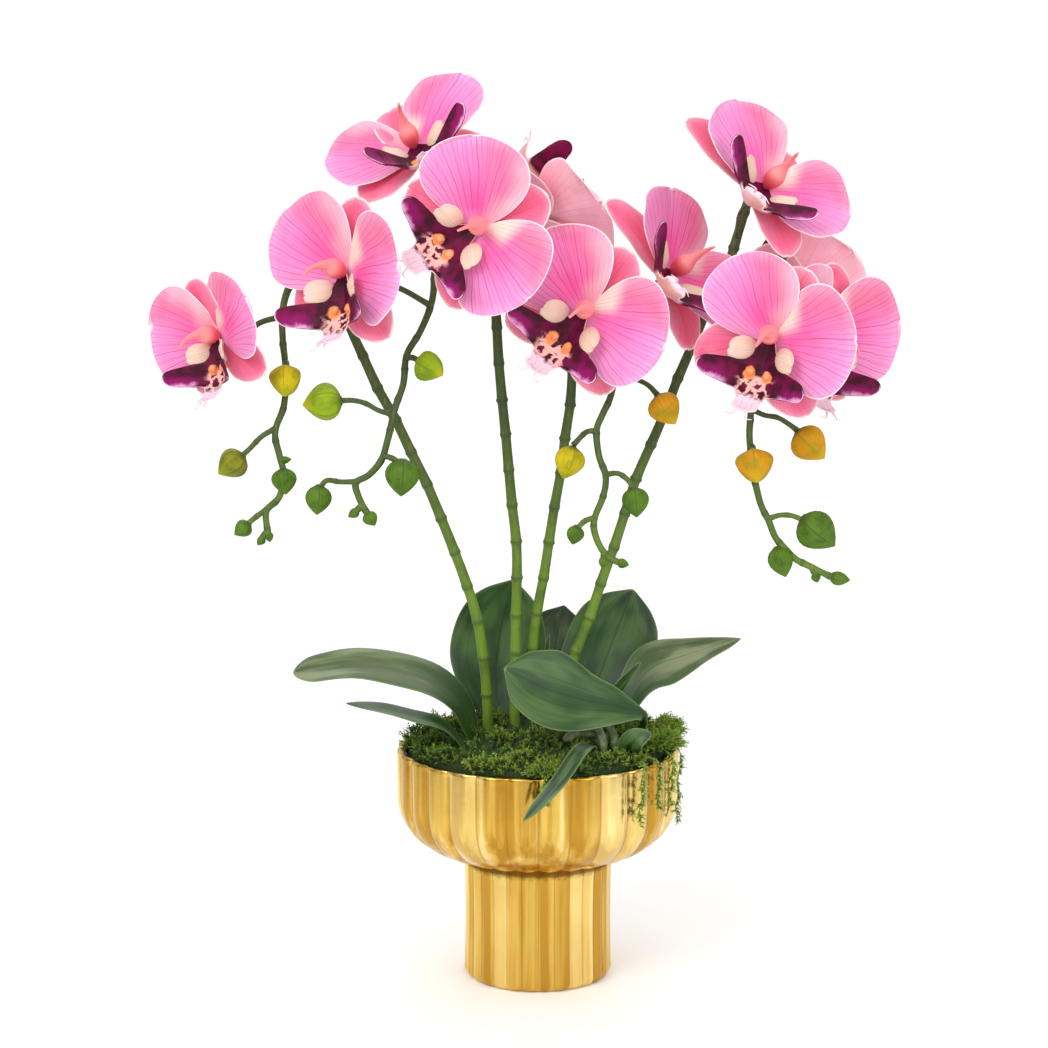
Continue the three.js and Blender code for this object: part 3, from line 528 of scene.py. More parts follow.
def leafFinish(name, deep, mid, sheen, sheenAmount, gloss, green=0):
    f = Finish(name, Coat_Roughness=0.25, Coat_Weight=0.12, Specular_IOR_Level=0.4)
    along, across, edge, chance = f.marks()
    cloud = f.noise(18, 4)
    grain = f.noise(420, 3)
    # the streak and pool noises lay light streaks and broad pools of sheen colour along the leaf: painted
    # highlight
    streak = f.noise(1.0, 5, 0.6, f.join(across * 15, along * 1.2, chance * 20))
    sheenPool = f.noise(1.0, 2, where=f.join(across * 2.6, along * 2.2, chance * 40))
    vein = (across * 30 + cloud * 0.8).ridges()
    color = f.layers(
        deep, (cloud.step(0.3, 0.72), mid),
        (sheenPool.step(0.4, 0.64) * (0.5 + streak) * along.step(0.1, 0.35) * sheenAmount, sheen),
        (streak.step(0.5, 0.72) * 0.22, sheen), ((1 - vein) ** 4 * 0.07, sheen),
        ((along + cloud * 0.2).fade(0.3, 0.75) * green, leafLook["mid"]),
        ((across - 0.5).size().fade(0.003, 0.02) * 0.55, deep),
        (along.fade(0.0, 0.2) * 0.5, leafLook["root"]), (edge.fade(0.03, 0.09) * 0.5, leafLook["edge"]))
    relief = vein * 0.25 + grain * 0.15 + cloud * 0.6 + streak * 0.4
    return f.wear(color, gloss + cloud * 0.15 + streak * 0.1, relief, 0.22, 0.4 * mm)


def leafGrid(leaf):
    route = Route(leaf["rib"])
    share = crowded(0, 1, leafLook["rows"] + 1)
    v = crowded(-1, 1, leafLook["columns"] + 1)
    along = route.heading(share)
    low, high = unit(np.array(leaf["face"], float))
    side = -unit(np.cross(low + (high - low) * share[:, None], along))
    normal = unit(np.cross(along, side))
    half = widths(leaf["width"])(share) * rounded(share, 0.9, 0.1, 0.02)
    reach = half[:, None] * v
    sway = np.radians(leaf.get("turn", 0)) * ease(share, 0.15, 0.6)[:, None]
    side, normal = side * np.cos(sway) + normal * np.sin(sway), normal * np.cos(sway) - side * np.sin(sway)
    ripple = np.sin(share * 13 + 1)[:, None] * v ** 2 * 0.05 * half[:, None]
    crease = 0.5 * np.exp(-(v / 0.07) ** 2) * ease(half, 4, 12)[:, None]
    depth = -leafLook["fold"] * np.sqrt(reach ** 2 + 2) - crease + ripple
    grid = route.at(share)[:, None] + side[:, None] * reach[..., None] + normal[:, None] * depth[..., None]
    return grid, share[:, None], v, half[:, None]


def makeLeaf(name, leaf, finishes):
    grid, share, v, half = leafGrid(leaf)
    margin = (1 - np.abs(v)) * half
    thick = leafLook["thick"] * (0.3 + 0.7 * ease(margin, 0, 3))
    edge = np.minimum(margin, (1 - share) * leafLook["long"]) / edgeUnit
    shape = Shape()
    addBlade(shape, grid, thick, pairs(share, v / 2 + 0.5), pairs(edge, rng.uniform(0, 1)), (0, 1, 0))
    x, y, z = leaf["rib"][0]
    stalk = min(4, leaf["width"][0][1]) * np.array([0.9] + [1] * 7 + [0.8, 0.4])
    foot = [(x, y, h) for h in np.linspace(footHeight, z + 3, len(stalk))]
    addTube(shape, foot, stalk, 14, marks=(0, 0.5))
    settle(shape.build(name + "_blade", finishes), name)


leafFace = leafFinish("leafGreen", leafLook["deep"], leafLook["mid"], leafLook["sheen"], 0.55, 0.3)
# a lighter grey-green copy of the leaf finish for the two long leaves: painted sheen, a painted highlight
# over the whole blade
leafLitPale = leafFinish("leafLitPale", leafLook["paleDeep"], leafLook["pale"], leafLook["paleSheen"],
                      0.9, 0.42, 0.85)
# a darker copy of the leaf finish on every blade's underside: painted shade
leafUnderShade = leafFinish("leafUnderShade", leafLook["under"], leafLook["deep"], leafLook["mid"], 0.5, 0.45)
for name, leaf in leaves.items():
    face = leafLitPale if name in ("leaf_left_long", "leaf_right_long") else leafFace
    makeLeaf(name, leaf, [face, leafUnderShade])
print("leaves done")

# Flower stems, pedicels and buds

stems = {
    "flower_stem_1": dict(
        main=[(-30, -8, 106), (-30, -8, 150), (-33, -10, 200), (-39, -14, 234), (-51, -17, 268),
              (-67, -20, 307),
              (-81, -22, 337), (-96, -24, 367), (-108, -22, 392), (-121, -14, 420), (-134, -10, 430),
              (-144, -18, 424), (-148, -32, 408), (-147, -40, 391), (-146, -42, 379), (-146, -42, 366),
              (-148, -45, 352), (-152, -46, 339), (-150, -46, 325), (-148, -46, 312), (-151, -46, 301),
              (-158, -46, 293), (-158, -46, 284), (-157, -46, 278)],
        twigs=[[(-146, -41, 379), (-145.5, -46, 378.5), (-145, -49.4, 377)],
               [(-152, -46, 340), (-160, -46, 336), (-168, -46, 328), (-174, -47, 323)],
               [(-157, -46, 294), (-164, -46, 289), (-170, -46, 284)],
               [(-158, -46, 281), (-162, -46, 275)]],
        buds=[((-171, -46, 325), (-0.8, -0.1, -0.6), 18, 17, 1),
              ((-148, -46, 317), (0.1, -0.1, -1), 15, 14, 0),
              ((-168, -46, 285), (-0.8, -0.1, -0.6), 11, 10, 0), ((-160, -46, 277), (-0.6, 0, -0.8), 6, 5, 0),
              ((-157, -46, 280), (0.1, 0, -1), 6, 5, 0), ((-150, -46, 322), (1, 0, 0.1), 7, 4.4, 0)]),
    "flower_stem_2": dict(
        main=[(-14, 2, 106), (-14, 2, 150), (-14, 2, 200), (-13, 1, 259), (-16, -2, 299), (-20, -5, 341),
              (-23, -8, 377), (-25, -8, 405), (-31, 0, 436), (-40, 12, 462), (-50, 12, 466), (-58, 0, 456),
              (-60, -18, 436), (-61, -34, 414), (-68, -42, 396), (-76, -46, 383), (-78, -50, 366),
              (-83, -54, 351),
              (-87, -56, 335), (-91, -56, 323), (-98, -56, 315), (-105, -56, 311), (-104, -56, 303),
              (-101, -56, 296), (-98, -56, 291)],
        twigs=[[(-84, -54, 350), (-92, -55, 352), (-99, -56, 356), (-106, -58, 358), (-115, -60, 358)],
               [(-77, -47, 382), (-72, -52, 382), (-68, -55, 380)],
               [(-91, -56, 326), (-85, -58, 325), (-79, -60, 322)],
               [(-104, -56, 311), (-114, -58, 311), (-122, -60, 312), (-126, -60, 307)],
               [(-101, -56, 297), (-106, -56, 293)]],
        buds=[((-113, -60, 358), (-1, -0.1, -0.1), 22, 21, 2),
              ((-69, -55, 381), (0.8, -0.4, -0.45), 18, 17, 2),
              ((-78, -60, 324), (-0.05, -0.1, -1), 21, 19, 0), ((-126, -60, 309), (-0.1, 0, -1), 17, 14.5, 0),
              ((-99, -56, 293), (0.5, 0, -0.85), 9, 8.5, 0), ((-104, -56, 294), (-0.8, 0, -0.5), 7, 5.5, 0)]),
    "flower_stem_3": dict(
        main=[(-3, 16, 106), (-3, 16, 150), (-2, 14, 204), (1, 13, 229), (6, 11, 260), (11, 8, 294),
              (15, 4, 322),
              (19, 0, 355), (23, 0, 384), (30, 6, 402), (38, 4, 408), (45, -10, 398), (46, -26, 380),
              (43, -40, 361), (37, -46, 348), (34, -48, 340), (35, -49, 325), (39, -49, 313), (38, -49, 301),
              (33, -49, 289), (32, -49, 282), (36, -49, 271), (42, -49, 265), (48, -49, 262)],
        twigs=[[(34, -47, 340), (28, -49, 339), (23, -53, 335), (20, -55, 332)],
               [(39, -49, 315), (46, -51, 315), (52, -54, 311), (55, -55, 306)],
               [(33, -49, 289), (27, -49, 287), (22, -50, 282)],
               [(39, -49, 269), (38, -49, 264)],
               [(45, -30, 375), (50, -37, 371), (56, -43, 369), (63, -49, 366), (68, -53, 361)]],
        buds=[((55, -55, 307), (0.1, -0.1, -1), 17, 15, 0), ((22, -50, 284), (-0.2, 0, -1), 11, 10, 0),
              ((46, -49, 263), (1, 0, -0.3), 7, 5.6, 0), ((38, -49, 266), (-0.1, 0, -1), 7, 5.6, 0)]),
    "flower_stem_4": dict(
        main=[(12, 6, 106), (12, 6, 130), (13, 6, 156), (20, 6, 188), (32, 6, 223), (42, 5, 254),
              (52, 3, 283),
              (61, 0, 310), (71, -4, 336), (83, -6, 366), (93, -6, 392), (104, -4, 419), (113, -1, 437),
              (119, 1, 456), (125, 6, 472), (134, 10, 480), (142, 10, 470), (145, 8, 450), (145, 3, 428),
              (144, -6, 404),
              (138, -18, 380), (128, -32, 362), (123, -40, 350), (122, -42, 338), (123, -42, 328),
              (124, -43, 316), (127, -45, 305), (130, -46, 296), (134, -46, 288), (138, -46, 276),
              (143, -47, 270), (150, -47, 263), (160, -47, 259), (172, -47, 253)],
        twigs=[[(123, -41, 330), (124, -46, 329.5), (124, -49.4, 328)],
               [(134, -46, 288), (140, -47, 290), (147, -49, 290), (155, -51, 287)],
               [(159, -47, 259), (162, -47, 254)],
               [(123, -40, 351), (131, -44, 348), (138, -47, 347), (145, -49, 343), (149, -50, 340)]],
        buds=[((153, -50, 289), (0.75, -0.1, -0.65), 25, 22, 0),
              ((138.6, -47, 271), (0.3, -0.1, -0.95), 18, 14, 0),
              ((170, -47, 254), (1, 0, -0.2), 12, 8, 0), ((161, -47, 256), (0.3, 0, -1), 6, 5.4, 0)]),
}
yellowBuds = {
    "bud_yellow_1": ((-145, -50.4, 376.2), (0, -0.6, -0.8), 19.4, 17.5, 0),
    "bud_yellow_2": ((19.6, -55.4, 330.8), (-0.3, -0.1, -1), 19, 17, 0),
    "bud_yellow_3": ((124, -50.4, 327.2), (0.05, -0.6, -0.8), 20, 21, 1),
    "bud_amber_1": ((68.4, -53.3, 360.2), (0.5, -0.3, -0.8), 19.5, 18, 1),
    "bud_amber_2": ((149.5, -50.2, 339.3), (0.6, -0.2, -0.6), 22, 20, 1),
}
blooms = {
    "a": dict(at=(-182, -48, 393), yaw=-42, pitch=-4, roll=-14, close=22, stem=1, start=(-150, -33, 404),
              size=0.86, twist=4, right=(0, -12), top=(-10, 14), lowRight=(0, -14), lowLeft=(0, -14)),
    "b": dict(at=(-108, -62, 429), yaw=-38, pitch=6, roll=6, close=6, stem=2, start=(-62, -38, 411),
              twist=-16, right=(8, 0), left=(12, 0)),
    "c": dict(at=(-71, -8, 498), yaw=-24, pitch=50, roll=-42, close=6, stem=2, start=(-49, 12.5, 465),
              right=(-8, -4, 1.08, 0.84), left=(0, -12, 1, 0.92), top=(0, 10, 1, 0.9), lowLeft=(14, 0)),
    "d": dict(at=(-35, -72, 456), yaw=-12, pitch=2, roll=68, close=0, stem=2, start=(-56, 0, 455),
              twist=-8, right=(4, 4), left=(2, 0)),
    "e": dict(at=(1, 6, 460), yaw=120, pitch=34, roll=-155, close=0, stem=2, start=(-36, 7, 450)),
    "f": dict(at=(26, -58, 407), yaw=-12, pitch=4, roll=36, close=0, stem=3, start=(36, 4, 406),
              twist=2, right=(5, 0), left=(7, 0)),
    "g": dict(at=(74, -33, 427), yaw=54, pitch=30, roll=64, close=24, stem=3, start=(46, -14, 394),
              left=(20, 0, 1, 0.92), lowRight=(0, -20), lowLeft=(32, -14, 1.25)),
    "h": dict(at=(127, -40, 476), yaw=40, pitch=37, roll=60, close=24, stem=4, start=(116, -6, 450),
              left=(0, -4, 1.04), lowRight=(0, -14), lowLeft=(32, -12, 1.3)),
    "i": dict(at=(131, -78, 394), yaw=-18, pitch=2, roll=26, close=8, stem=4, start=(125, -38, 353),
              via=[(124, -52, 370), (127, -66, 384)], twist=-10, right=(-4, 0), left=(22, 2, 1, 0.86),
              lowRight=(0, -8), lowLeft=(0, -8)),
    "j": dict(at=(163, -20, 391), yaw=34, pitch=-6, roll=12, close=0, stem=4, start=(144, 0, 416)),
    "k": dict(at=(150, 36, 405), yaw=168, pitch=27, roll=-117, close=0, stem=4, start=(145, 4, 426)),
}
stemLook = {
    "foot": 3.1, "arch": 2.6, "tip": 1.9, "twig": 1.5, "joint": 24, "swell": 0.55, "sides": 14,
    "twigSides": 10, "from": 150, "span": 350,
    "fresh": rgb(100, 134, 20), "olive": rgb(58, 76, 20), "dark": rgb(36, 52, 14), "tan": rgb(138, 146, 52),
}
budLook = {
    "green": rgb(84, 118, 26), "deepGreen": rgb(48, 76, 18), "lime": rgb(140, 164, 8),
    "olive": rgb(128, 128, 14),
    "yellow": rgb(196, 176, 4), "amber": rgb(204, 142, 8), "shade": rgb(108, 116, 4), "ridges": 5,
    "profile": [(0, 0.3), (0.03, 0.46), (0.1, 0.72), (0.2, 0.9), (0.32, 1.0), (0.44, 1.0), (0.56, 0.92),
                (0.67, 0.78), (0.77, 0.6), (0.86, 0.41), (0.93, 0.23), (0.98, 0.09), (1, 0.03)],
}


def bloomAxes(place):
    yaw, pitch, roll = (math.radians(place[k]) for k in ("yaw", "pitch", "roll"))
    face = np.array([math.sin(yaw) * math.cos(pitch), -math.cos(yaw) * math.cos(pitch), math.sin(pitch)])
    upright = unit(np.array([0, 0, 1]) - face * face[2])
    right = np.cross(upright, face)
    dorsal = upright * math.cos(roll) + right * math.sin(roll)
    axes = np.stack([np.cross(dorsal, face), dorsal, face])
    return axes * place.get("size", 1), np.array(place["at"], float)


def stemFinish():
    f = Finish("stemGreen")
    nearJoint, height = f.mark("extra")
    cloud = f.noise(60, 3)
    fibre = f.noise(900, 2, where=f.stretch((1, 1, 0.08)))
    color = f.layers(
        stemLook["fresh"], (height.step(0.15, 0.62), stemLook["olive"]),
        (cloud.step(0.42, 0.75) * 0.5, stemLook["dark"]), (fibre.step(0.5, 0.8) * 0.35, stemLook["tan"]),
        (nearJoint * 0.6, stemLook["dark"]))
    return f.wear(color, 0.45 + cloud * 0.2, fibre * 0.5 + cloud, 0.25, 0.3 * mm)


def budFinish(name, main, shade, tip):
    f = Finish(name, Specular_IOR_Level=0.25)
    along, around = f.mark("mark")
    cloud = f.noise(130, 3)
    ridge = (around * budLook["ridges"]).ridges()
    stripe = (around * 18 + cloud * 0.8).ridges()
    color = f.layers(
        main, (cloud.step(0.4, 0.7) * 0.6, shade), (ridge.fade(0.0, 0.16) * 0.7, shade),
        ((1 - stripe) ** 2 * 0.22, shade), (along.step(0.7, 1.0) * 0.6, tip),
        (along.fade(0.0, 0.14) * 0.7, budLook["deepGreen"]))
    return f.wear(color, 0.55 + cloud * 0.15, stripe * 0.3 + ridge * 0.8, 0.3, 0.4 * mm)


def addBud(shape, at, axis, long, wide, slot):
    profile = [(s, r * wide / 2 * 1.02) for s, r in budLook["profile"]]
    addEgg(shape, at, axis, long, profile, 40, 0.8, budLook["ridges"], slot)
    calyx = [(0, wide * 0.1), (0.4, wide * 0.2), (1, wide * 0.24)]
    foot = np.array(at) - unit(np.array(axis, float)) * 0.8
    addEgg(shape, foot, axis, wide * 0.2, calyx, 14, 0, budLook["ridges"], 0, extras=(0.4, 0.5))


def pedicelRoute(place):
    axes, at = bloomAxes(place)
    behind = lambda depth: at - axes[2] * depth
    start, rest = np.array(place["start"], float), behind(18)
    way = list(place["via"]) + [behind(10)] if "via" in place else [(start + rest) / 2 + [0, 0, 2], rest]
    return [start, *way, behind(6.75)]


def stemExtras(near, points, sides):
    height = (points[:, 2] - stemLook["from"]) / stemLook["span"]
    return np.repeat(np.stack([near, height], -1), sides, 0)


def makeStem(name, stem, number, finishes):
    route = Route(stem["main"])
    share = np.linspace(0, 1, int(route.length / 1.5))
    run = share * route.length
    slim = ease(share, 0.5, 0.8)
    stout = stemLook["foot"] + (stemLook["arch"] - stemLook["foot"]) * share
    spacing = stemLook["joint"] * (1 - 0.25 * share)
    phase = np.cumsum(np.gradient(run) / spacing)
    offset = (phase % 1) * spacing
    near = np.exp(-(np.minimum(offset, spacing - offset) / 1.1) ** 2)
    flare = 0.35 * np.exp(-offset / 6)
    radius = stout + (stemLook["tip"] - stout) * slim
    radius = radius + (near * stemLook["swell"] + flare) * (1 - 0.55 * slim)
    lean = rng.normal(0, 1, (int(phase[-1]) + 3, 3))
    kink = (phase % 1)[:, None]
    cell = phase.astype(int)
    sway = (lean[cell] * (1 - kink) + lean[cell + 1] * kink) * 0.45
    sway *= (ease(run, 45, 80) * ease(route.length - run, 2, 20))[:, None]
    middle = route.at(share) + sway
    shape = Shape()
    sides = stemLook["sides"]
    addTube(shape, middle, radius, sides, extras=stemExtras(near, middle, sides))
    twigs = [(way, stemLook["twig"]) for way in stem["twigs"]]
    twigs += [(pedicelRoute(p), stemLook["twig"] * 1.12) for p in blooms.values() if p["stem"] == number]
    sides = stemLook["twigSides"]
    for way, thick in twigs:
        nearest = middle[np.argmin(np.linalg.norm(middle - np.array(way[0], float), axis=1))]
        line = Route([nearest, *way[1:]])
        t = np.linspace(0, 1, max(8, int(line.length / 1.6)))
        swell = 1 + 0.35 * np.exp(-t * line.length / 3) + 0.25 * np.exp(-(1 - t) * line.length / 3)
        ring = 0.16 * np.exp(-((t - 0.5) * line.length / 1.4) ** 2)
        points = line.at(t)
        addTube(shape, points, thick * (swell + ring), sides, extras=stemExtras(ring * 4, points, sides))
    for at, axis, long, wide, tint in stem["buds"]:
        addBud(shape, at, axis, long, wide, tint + 1)
    settle(shape.build(name + "_stalk", finishes), name)


stemGreen = stemFinish()
budGreen = budFinish("budGreen", budLook["green"], budLook["deepGreen"], budLook["green"])
budOlive = budFinish("budOlive", budLook["olive"], budLook["deepGreen"], budLook["lime"])
budLime = budFinish("budLime", budLook["lime"], budLook["green"], budLook["yellow"])
budYellow = budFinish("budYellow", budLook["yellow"], budLook["shade"], budLook["lime"])
budAmber = budFinish("budAmber", budLook["amber"], budLook["olive"], budLook["yellow"])
for number, (name, stem) in enumerate(stems.items(), 1):
    makeStem(name, stem, number, [stemGreen, budGreen, budOlive, budLime])
for name, (at, axis, long, wide, tint) in yellowBuds.items():
    shape = Shape()
    addBud(shape, at, axis, long, wide, 1)
    settle(shape.build(name + "_egg", [stemGreen, budAmber if tint else budYellow]), name)
print("stems and buds done")

# Aerial roots

roots = {
    "crown": (37, -36, 156), "radius": 2.5, "sides": 14, "color": rgb(128, 144, 104),
    "shade": rgb(70, 84, 50),
    "fingers": [[(37, -36, 156), (35, -45, 163), (38, -50, 157), (38.5, -51, 150)],
                [(37, -36, 156), (41, -42, 164), (44.5, -45, 158), (45, -46, 150)],
                [(37, -36, 156), (28, -44, 160), (20, -49, 160), (15, -52, 157)]],
}


def makeRoots():
    f = Finish("rootGrey")
    cloud = f.noise(160, 4)
    color = f.mix(cloud.step(0.35, 0.7), roots["shade"], roots["color"])
    finish = f.wear(color, 0.6 + cloud * 0.2, cloud, 0.4, 0.5 * mm)
    shape = Shape()
    for way in roots["fingers"]:
        t = np.linspace(0, 1, 26)
        radius = roots["radius"] * (1 + 0.05 * np.sin(t * 40)) * rounded(t, 0.86, 0.15, 0.03)
        addTube(shape, Route(way).at(t), radius, roots["sides"])
    x, y, z = roots["crown"]
    foot = [(x, y, h) for h in np.linspace(footHeight, z + 2, 8)]
    addTube(shape, foot, roots["radius"] + 1, roots["sides"])
    settle(shape.build("aerial_roots_fingers", [finish]), "aerial_roots")


makeRoots()

# Blooms

bloomSize = {
    "petal": dict(long=54, half=30.5, fold=20, curl=5, cup=0.1, side=67),
    "dorsal": dict(long=44, half=15, fold=6, curl=4, cup=0.12, side=0),
    "lateral": dict(long=46, half=15, fold=4, curl=6, cup=0.12, side=129),
    "thick": 0.8, "stub": 1.6, "rows": 32, "columns": 27, "phases": 6.28,
}
petalLook = {
    "lilac": rgb(243, 142, 204), "rose": rgb(234, 106, 152), "hot": rgb(244, 64, 154),
    "vein": rgb(186, 36, 108),
    "cream": rgb(240, 216, 200), "mist": rgb(230, 196, 210), "rim": rgb(252, 226, 232),
    "glow": rgb(250, 184, 222),
    # back is paler than the petals' own back: painted light that makes up for the shade on backs turned away
    # from the lamps
    "back": rgb(255, 206, 218), "backVein": rgb(230, 126, 158), "patchVein": rgb(204, 124, 136),
}
sepalLook = {
    "salmon": rgb(240, 128, 168), "coral": rgb(240, 98, 138), "pale": rgb(244, 168, 190),
    "vein": rgb(196, 60, 104),
    "rim": rgb(250, 214, 214), "back": rgb(226, 148, 172), "backVein": rgb(190, 96, 128),
}


# 1 on a right petal and 0 on a left one, then which of the veins that spread from the foot
def unpack(packed):
    right = packed.step(0.99, 1.01)
    return right, packed - right * 2


def veins(f, along, fan, count):
    drift = f.noise(26, 3) * 1.6
    coarse = (fan * count + drift).ridges()
    finer = (fan * count * 2.4 + drift * 2).ridges()
    main = coarse.fade(0.0, 0.34) * (0.4 + along.fade(0.35, 0.85) * 0.6)
    return main + finer.fade(0.0, 0.5) * along.step(0.25, 0.6) * 0.6


def petalFace():
    f = Finish("petalPink", Subsurface_Weight=0.1, Subsurface_Scale=0.003, Sheen_Weight=0.1)
    along, across, edge, packed = f.marks()     # across: 0 on the lip's side, 1 on the dorsal sepal's
    right, fan = unpack(packed)
    cloud = f.noise(34, 3)
    blush = f.noise(16, 2)
    weave = f.noise(2200, 2)
    streaks = veins(f, along, fan, 15)
    side = (across.step(0.4, 0.95) * 0.6 + blush * 0.4).step(0.1, 0.8)
    axis = ((across - 0.5).size() * 2).fade(0.03, 0.62) * along.step(0.08, 0.24) * along.fade(0.3, 0.9)
    patch = (across + blush * 0.2 - 0.1).step(0.54, 0.74) * (along + cloud * 0.16).fade(0.3, 0.5)
    patch = patch * along.step(0.0, 0.05) * (0.3 + 0.65 * right)
    margin = (across + blush * 0.3 - 0.15).step(0.72, 0.95) * along.step(0.12, 0.3) * along.fade(0.6, 0.85)
    color = f.layers(
        petalLook["lilac"], (side, petalLook["rose"]), (axis * (0.4 + cloud * 0.55), petalLook["hot"]),
        (edge.fade(0.1, 0.8) * 0.35, petalLook["glow"]), (patch, petalLook["cream"]),
        (streaks * (1 - patch) * along.step(0.05, 0.2) * (0.4 + cloud * 0.5), petalLook["vein"]),
        (patch * streaks * 0.5, petalLook["patchVein"]), (margin * (0.6 - 0.4 * right), petalLook["mist"]),
        (along.fade(0.02, 0.1) * 0.7, petalLook["glow"]), (edge.fade(0.04, 0.09), petalLook["rim"]))
    return f.wear(color, 0.6 + cloud * 0.1, streaks * -0.7 + weave * 0.25 + cloud * 0.8, 0.4, 0.5 * mm)


def petalBack():
    f = Finish("petalPinkBack", Subsurface_Weight=0.12, Subsurface_Scale=0.003, Sheen_Weight=0.1)
    along = f.mark("mark")[0]
    edge, packed = f.mark("extra")
    cloud = f.noise(40, 3)
    streaks = veins(f, along, unpack(packed)[1], 17)
    # the pale back colour is painted light for backs in shade
    color = f.layers(
        petalLook["back"], (cloud.step(0.3, 0.7) * 0.4, petalLook["rose"]),
        (streaks * 0.35, petalLook["backVein"]), (along.fade(0.05, 0.35) * 0.6, petalLook["cream"]),
        (edge.fade(0.06, 0.12), petalLook["rim"]))
    return f.wear(color, 0.7, streaks * 0.6 + cloud * 0.6, 0.35, 0.5 * mm)


def sepalFinish(name, main, deep, vein):
    f = Finish(name, Subsurface_Weight=0.1, Subsurface_Scale=0.003, Sheen_Weight=0.15)
    along, across, edge, packed = f.marks()
    cloud = f.noise(40, 3)
    streaks = veins(f, along, unpack(packed)[1], 17)
    color = f.layers(
        deep, (((across - 0.5).size() * 2).step(0.1, 0.9) * 0.7, main),
        (cloud.step(0.45, 0.75) * 0.5, sepalLook["pale"]), (streaks * 0.4, vein),
        (edge.fade(0.12, 0.5) * 0.35, sepalLook["pale"]), (edge.fade(0.06, 0.12), sepalLook["rim"]))
    return f.wear(color, 0.65, streaks * -0.6 + cloud * 0.6, 0.35, 0.5 * mm)


# how far each point of a flat grid is from the blade's sides and tip
def edgeGaps(flat, foot):
    rim = np.concatenate([flat[foot:, 0], flat[foot:, -1], flat[-1]])
    return np.linalg.norm(flat.reshape(-1, 1, 2) - rim, axis=-1).min(1).reshape(flat.shape[:2])


def tepalGrid(form, hand, lift, rise, fall, close, bend, phase):
    turn, fold, longer, wider = (*bend, *(0, 0, 1, 1)[len(bend):])
    long, broad = form["long"] * longer, form["half"] * wider
    angle = math.radians(form["side"] * hand + turn)
    axis = np.array([math.sin(angle), math.cos(angle), 0])
    side = np.array([axis[1], -axis[0], 0])
    share = crowded(0, 1, bloomSize["rows"] + 1)[:, None]
    v = crowded(-1, 1, bloomSize["columns"] + 1)
    reach = (bloomSize["stub"] + broad * outline(share, rise, fall)) * v
    lean = np.radians(form["fold"] + (close + fold) * (1 - 0.4 * share))
    height = lift + long * share * np.sin(lean) - form["curl"] * share ** 2 + form["cup"] * reach ** 2 / broad
    frill = broad / 28
    height = height + frill * np.abs(v) ** 3 * share * (1.5 * np.sin(share * 8 + phase + 2 * np.sign(v))
                                                        + 0.7 * np.sin(share * 19 + phase * 2))
    height = height - 1.2 * frill * np.exp(-(v / 0.09) ** 2) * share * (1 - share) * 4
    height = height + frill * np.sin(v * 4 + phase) * share
    out = 1 + long * share * np.cos(lean)
    grid = axis * out[..., None] + side * reach[..., None] + np.array([0, 0, 1]) * height[..., None]
    gaps = edgeGaps(pairs(out, reach), 2)
    mirror = -1 if hand > 0 else 1
    fan = 0.5 * reach / (out + 8) * mirror
    extras = pairs(np.clip(gaps / edgeUnit, 0, 2), fan + 2 * (hand > 0))
    return grid, pairs(share, v * mirror / 2 + 0.5), extras, gaps


def makeBloom(letter, place, finishes):
    axes, at = bloomAxes(place)
    close = place["close"]
    shape = Shape()
    petal, sepal = (0, 1, 1), (2, 3, 3)
    plan = [("petal", 1, "right", 1, 0.8, 0.6, close * 0.4, petal),
            ("petal", -1, "left", 1, 0.8, 0.6, close * 0.4, petal),
            ("dorsal", 0, "top", -0.8, 0.7, 0.6, close * 0.2, sepal),
            ("lateral", 1, "lowRight", -0.8, 0.7, 0.65, close, sepal),
            ("lateral", -1, "lowLeft", -0.8, 0.7, 0.65, close, sepal)]
    for kind, hand, key, lift, rise, fall, shut, slots in plan:
        bend, phase = place.get(key, (0, 0)), rng.uniform(0, bloomSize["phases"])
        grid, marks, extras, gaps = tepalGrid(bloomSize[kind], hand, lift, rise, fall, shut, bend, phase)
        thick = bloomSize["thick"] * (0.55 + 0.45 * ease(gaps, 0, 2))
        addBlade(shape, at + grid @ axes, thick, marks, extras, slots)
    calyx = np.array([(0, 0, z) for z in (-6.4, -5.6, -4, -2, 0, 1.2, 1.6)]) @ axes + at
    radii = [1.6, 2.4, 3.0, 3.5, 3.9, 3.6, 2.2]
    addTube(shape, calyx, radii, 16, marks=(0.0, 0.5), slot=3, extras=(0.6, 0.5))
    settle(shape.build("bloom_" + letter + "_petals", finishes), "bloom_" + letter)


petalFinishes = [
    petalFace(), petalBack(),
    sepalFinish("sepalRose", sepalLook["salmon"], sepalLook["coral"], sepalLook["vein"]),
    sepalFinish("sepalRoseBack", sepalLook["back"], sepalLook["back"], sepalLook["backVein"]),
]
for letter, place in blooms.items():
    makeBloom(letter, place, petalFinishes)
print("petals done")

# Lips: the scoop with its wings and tip, two ears, the column with its spur, the callus

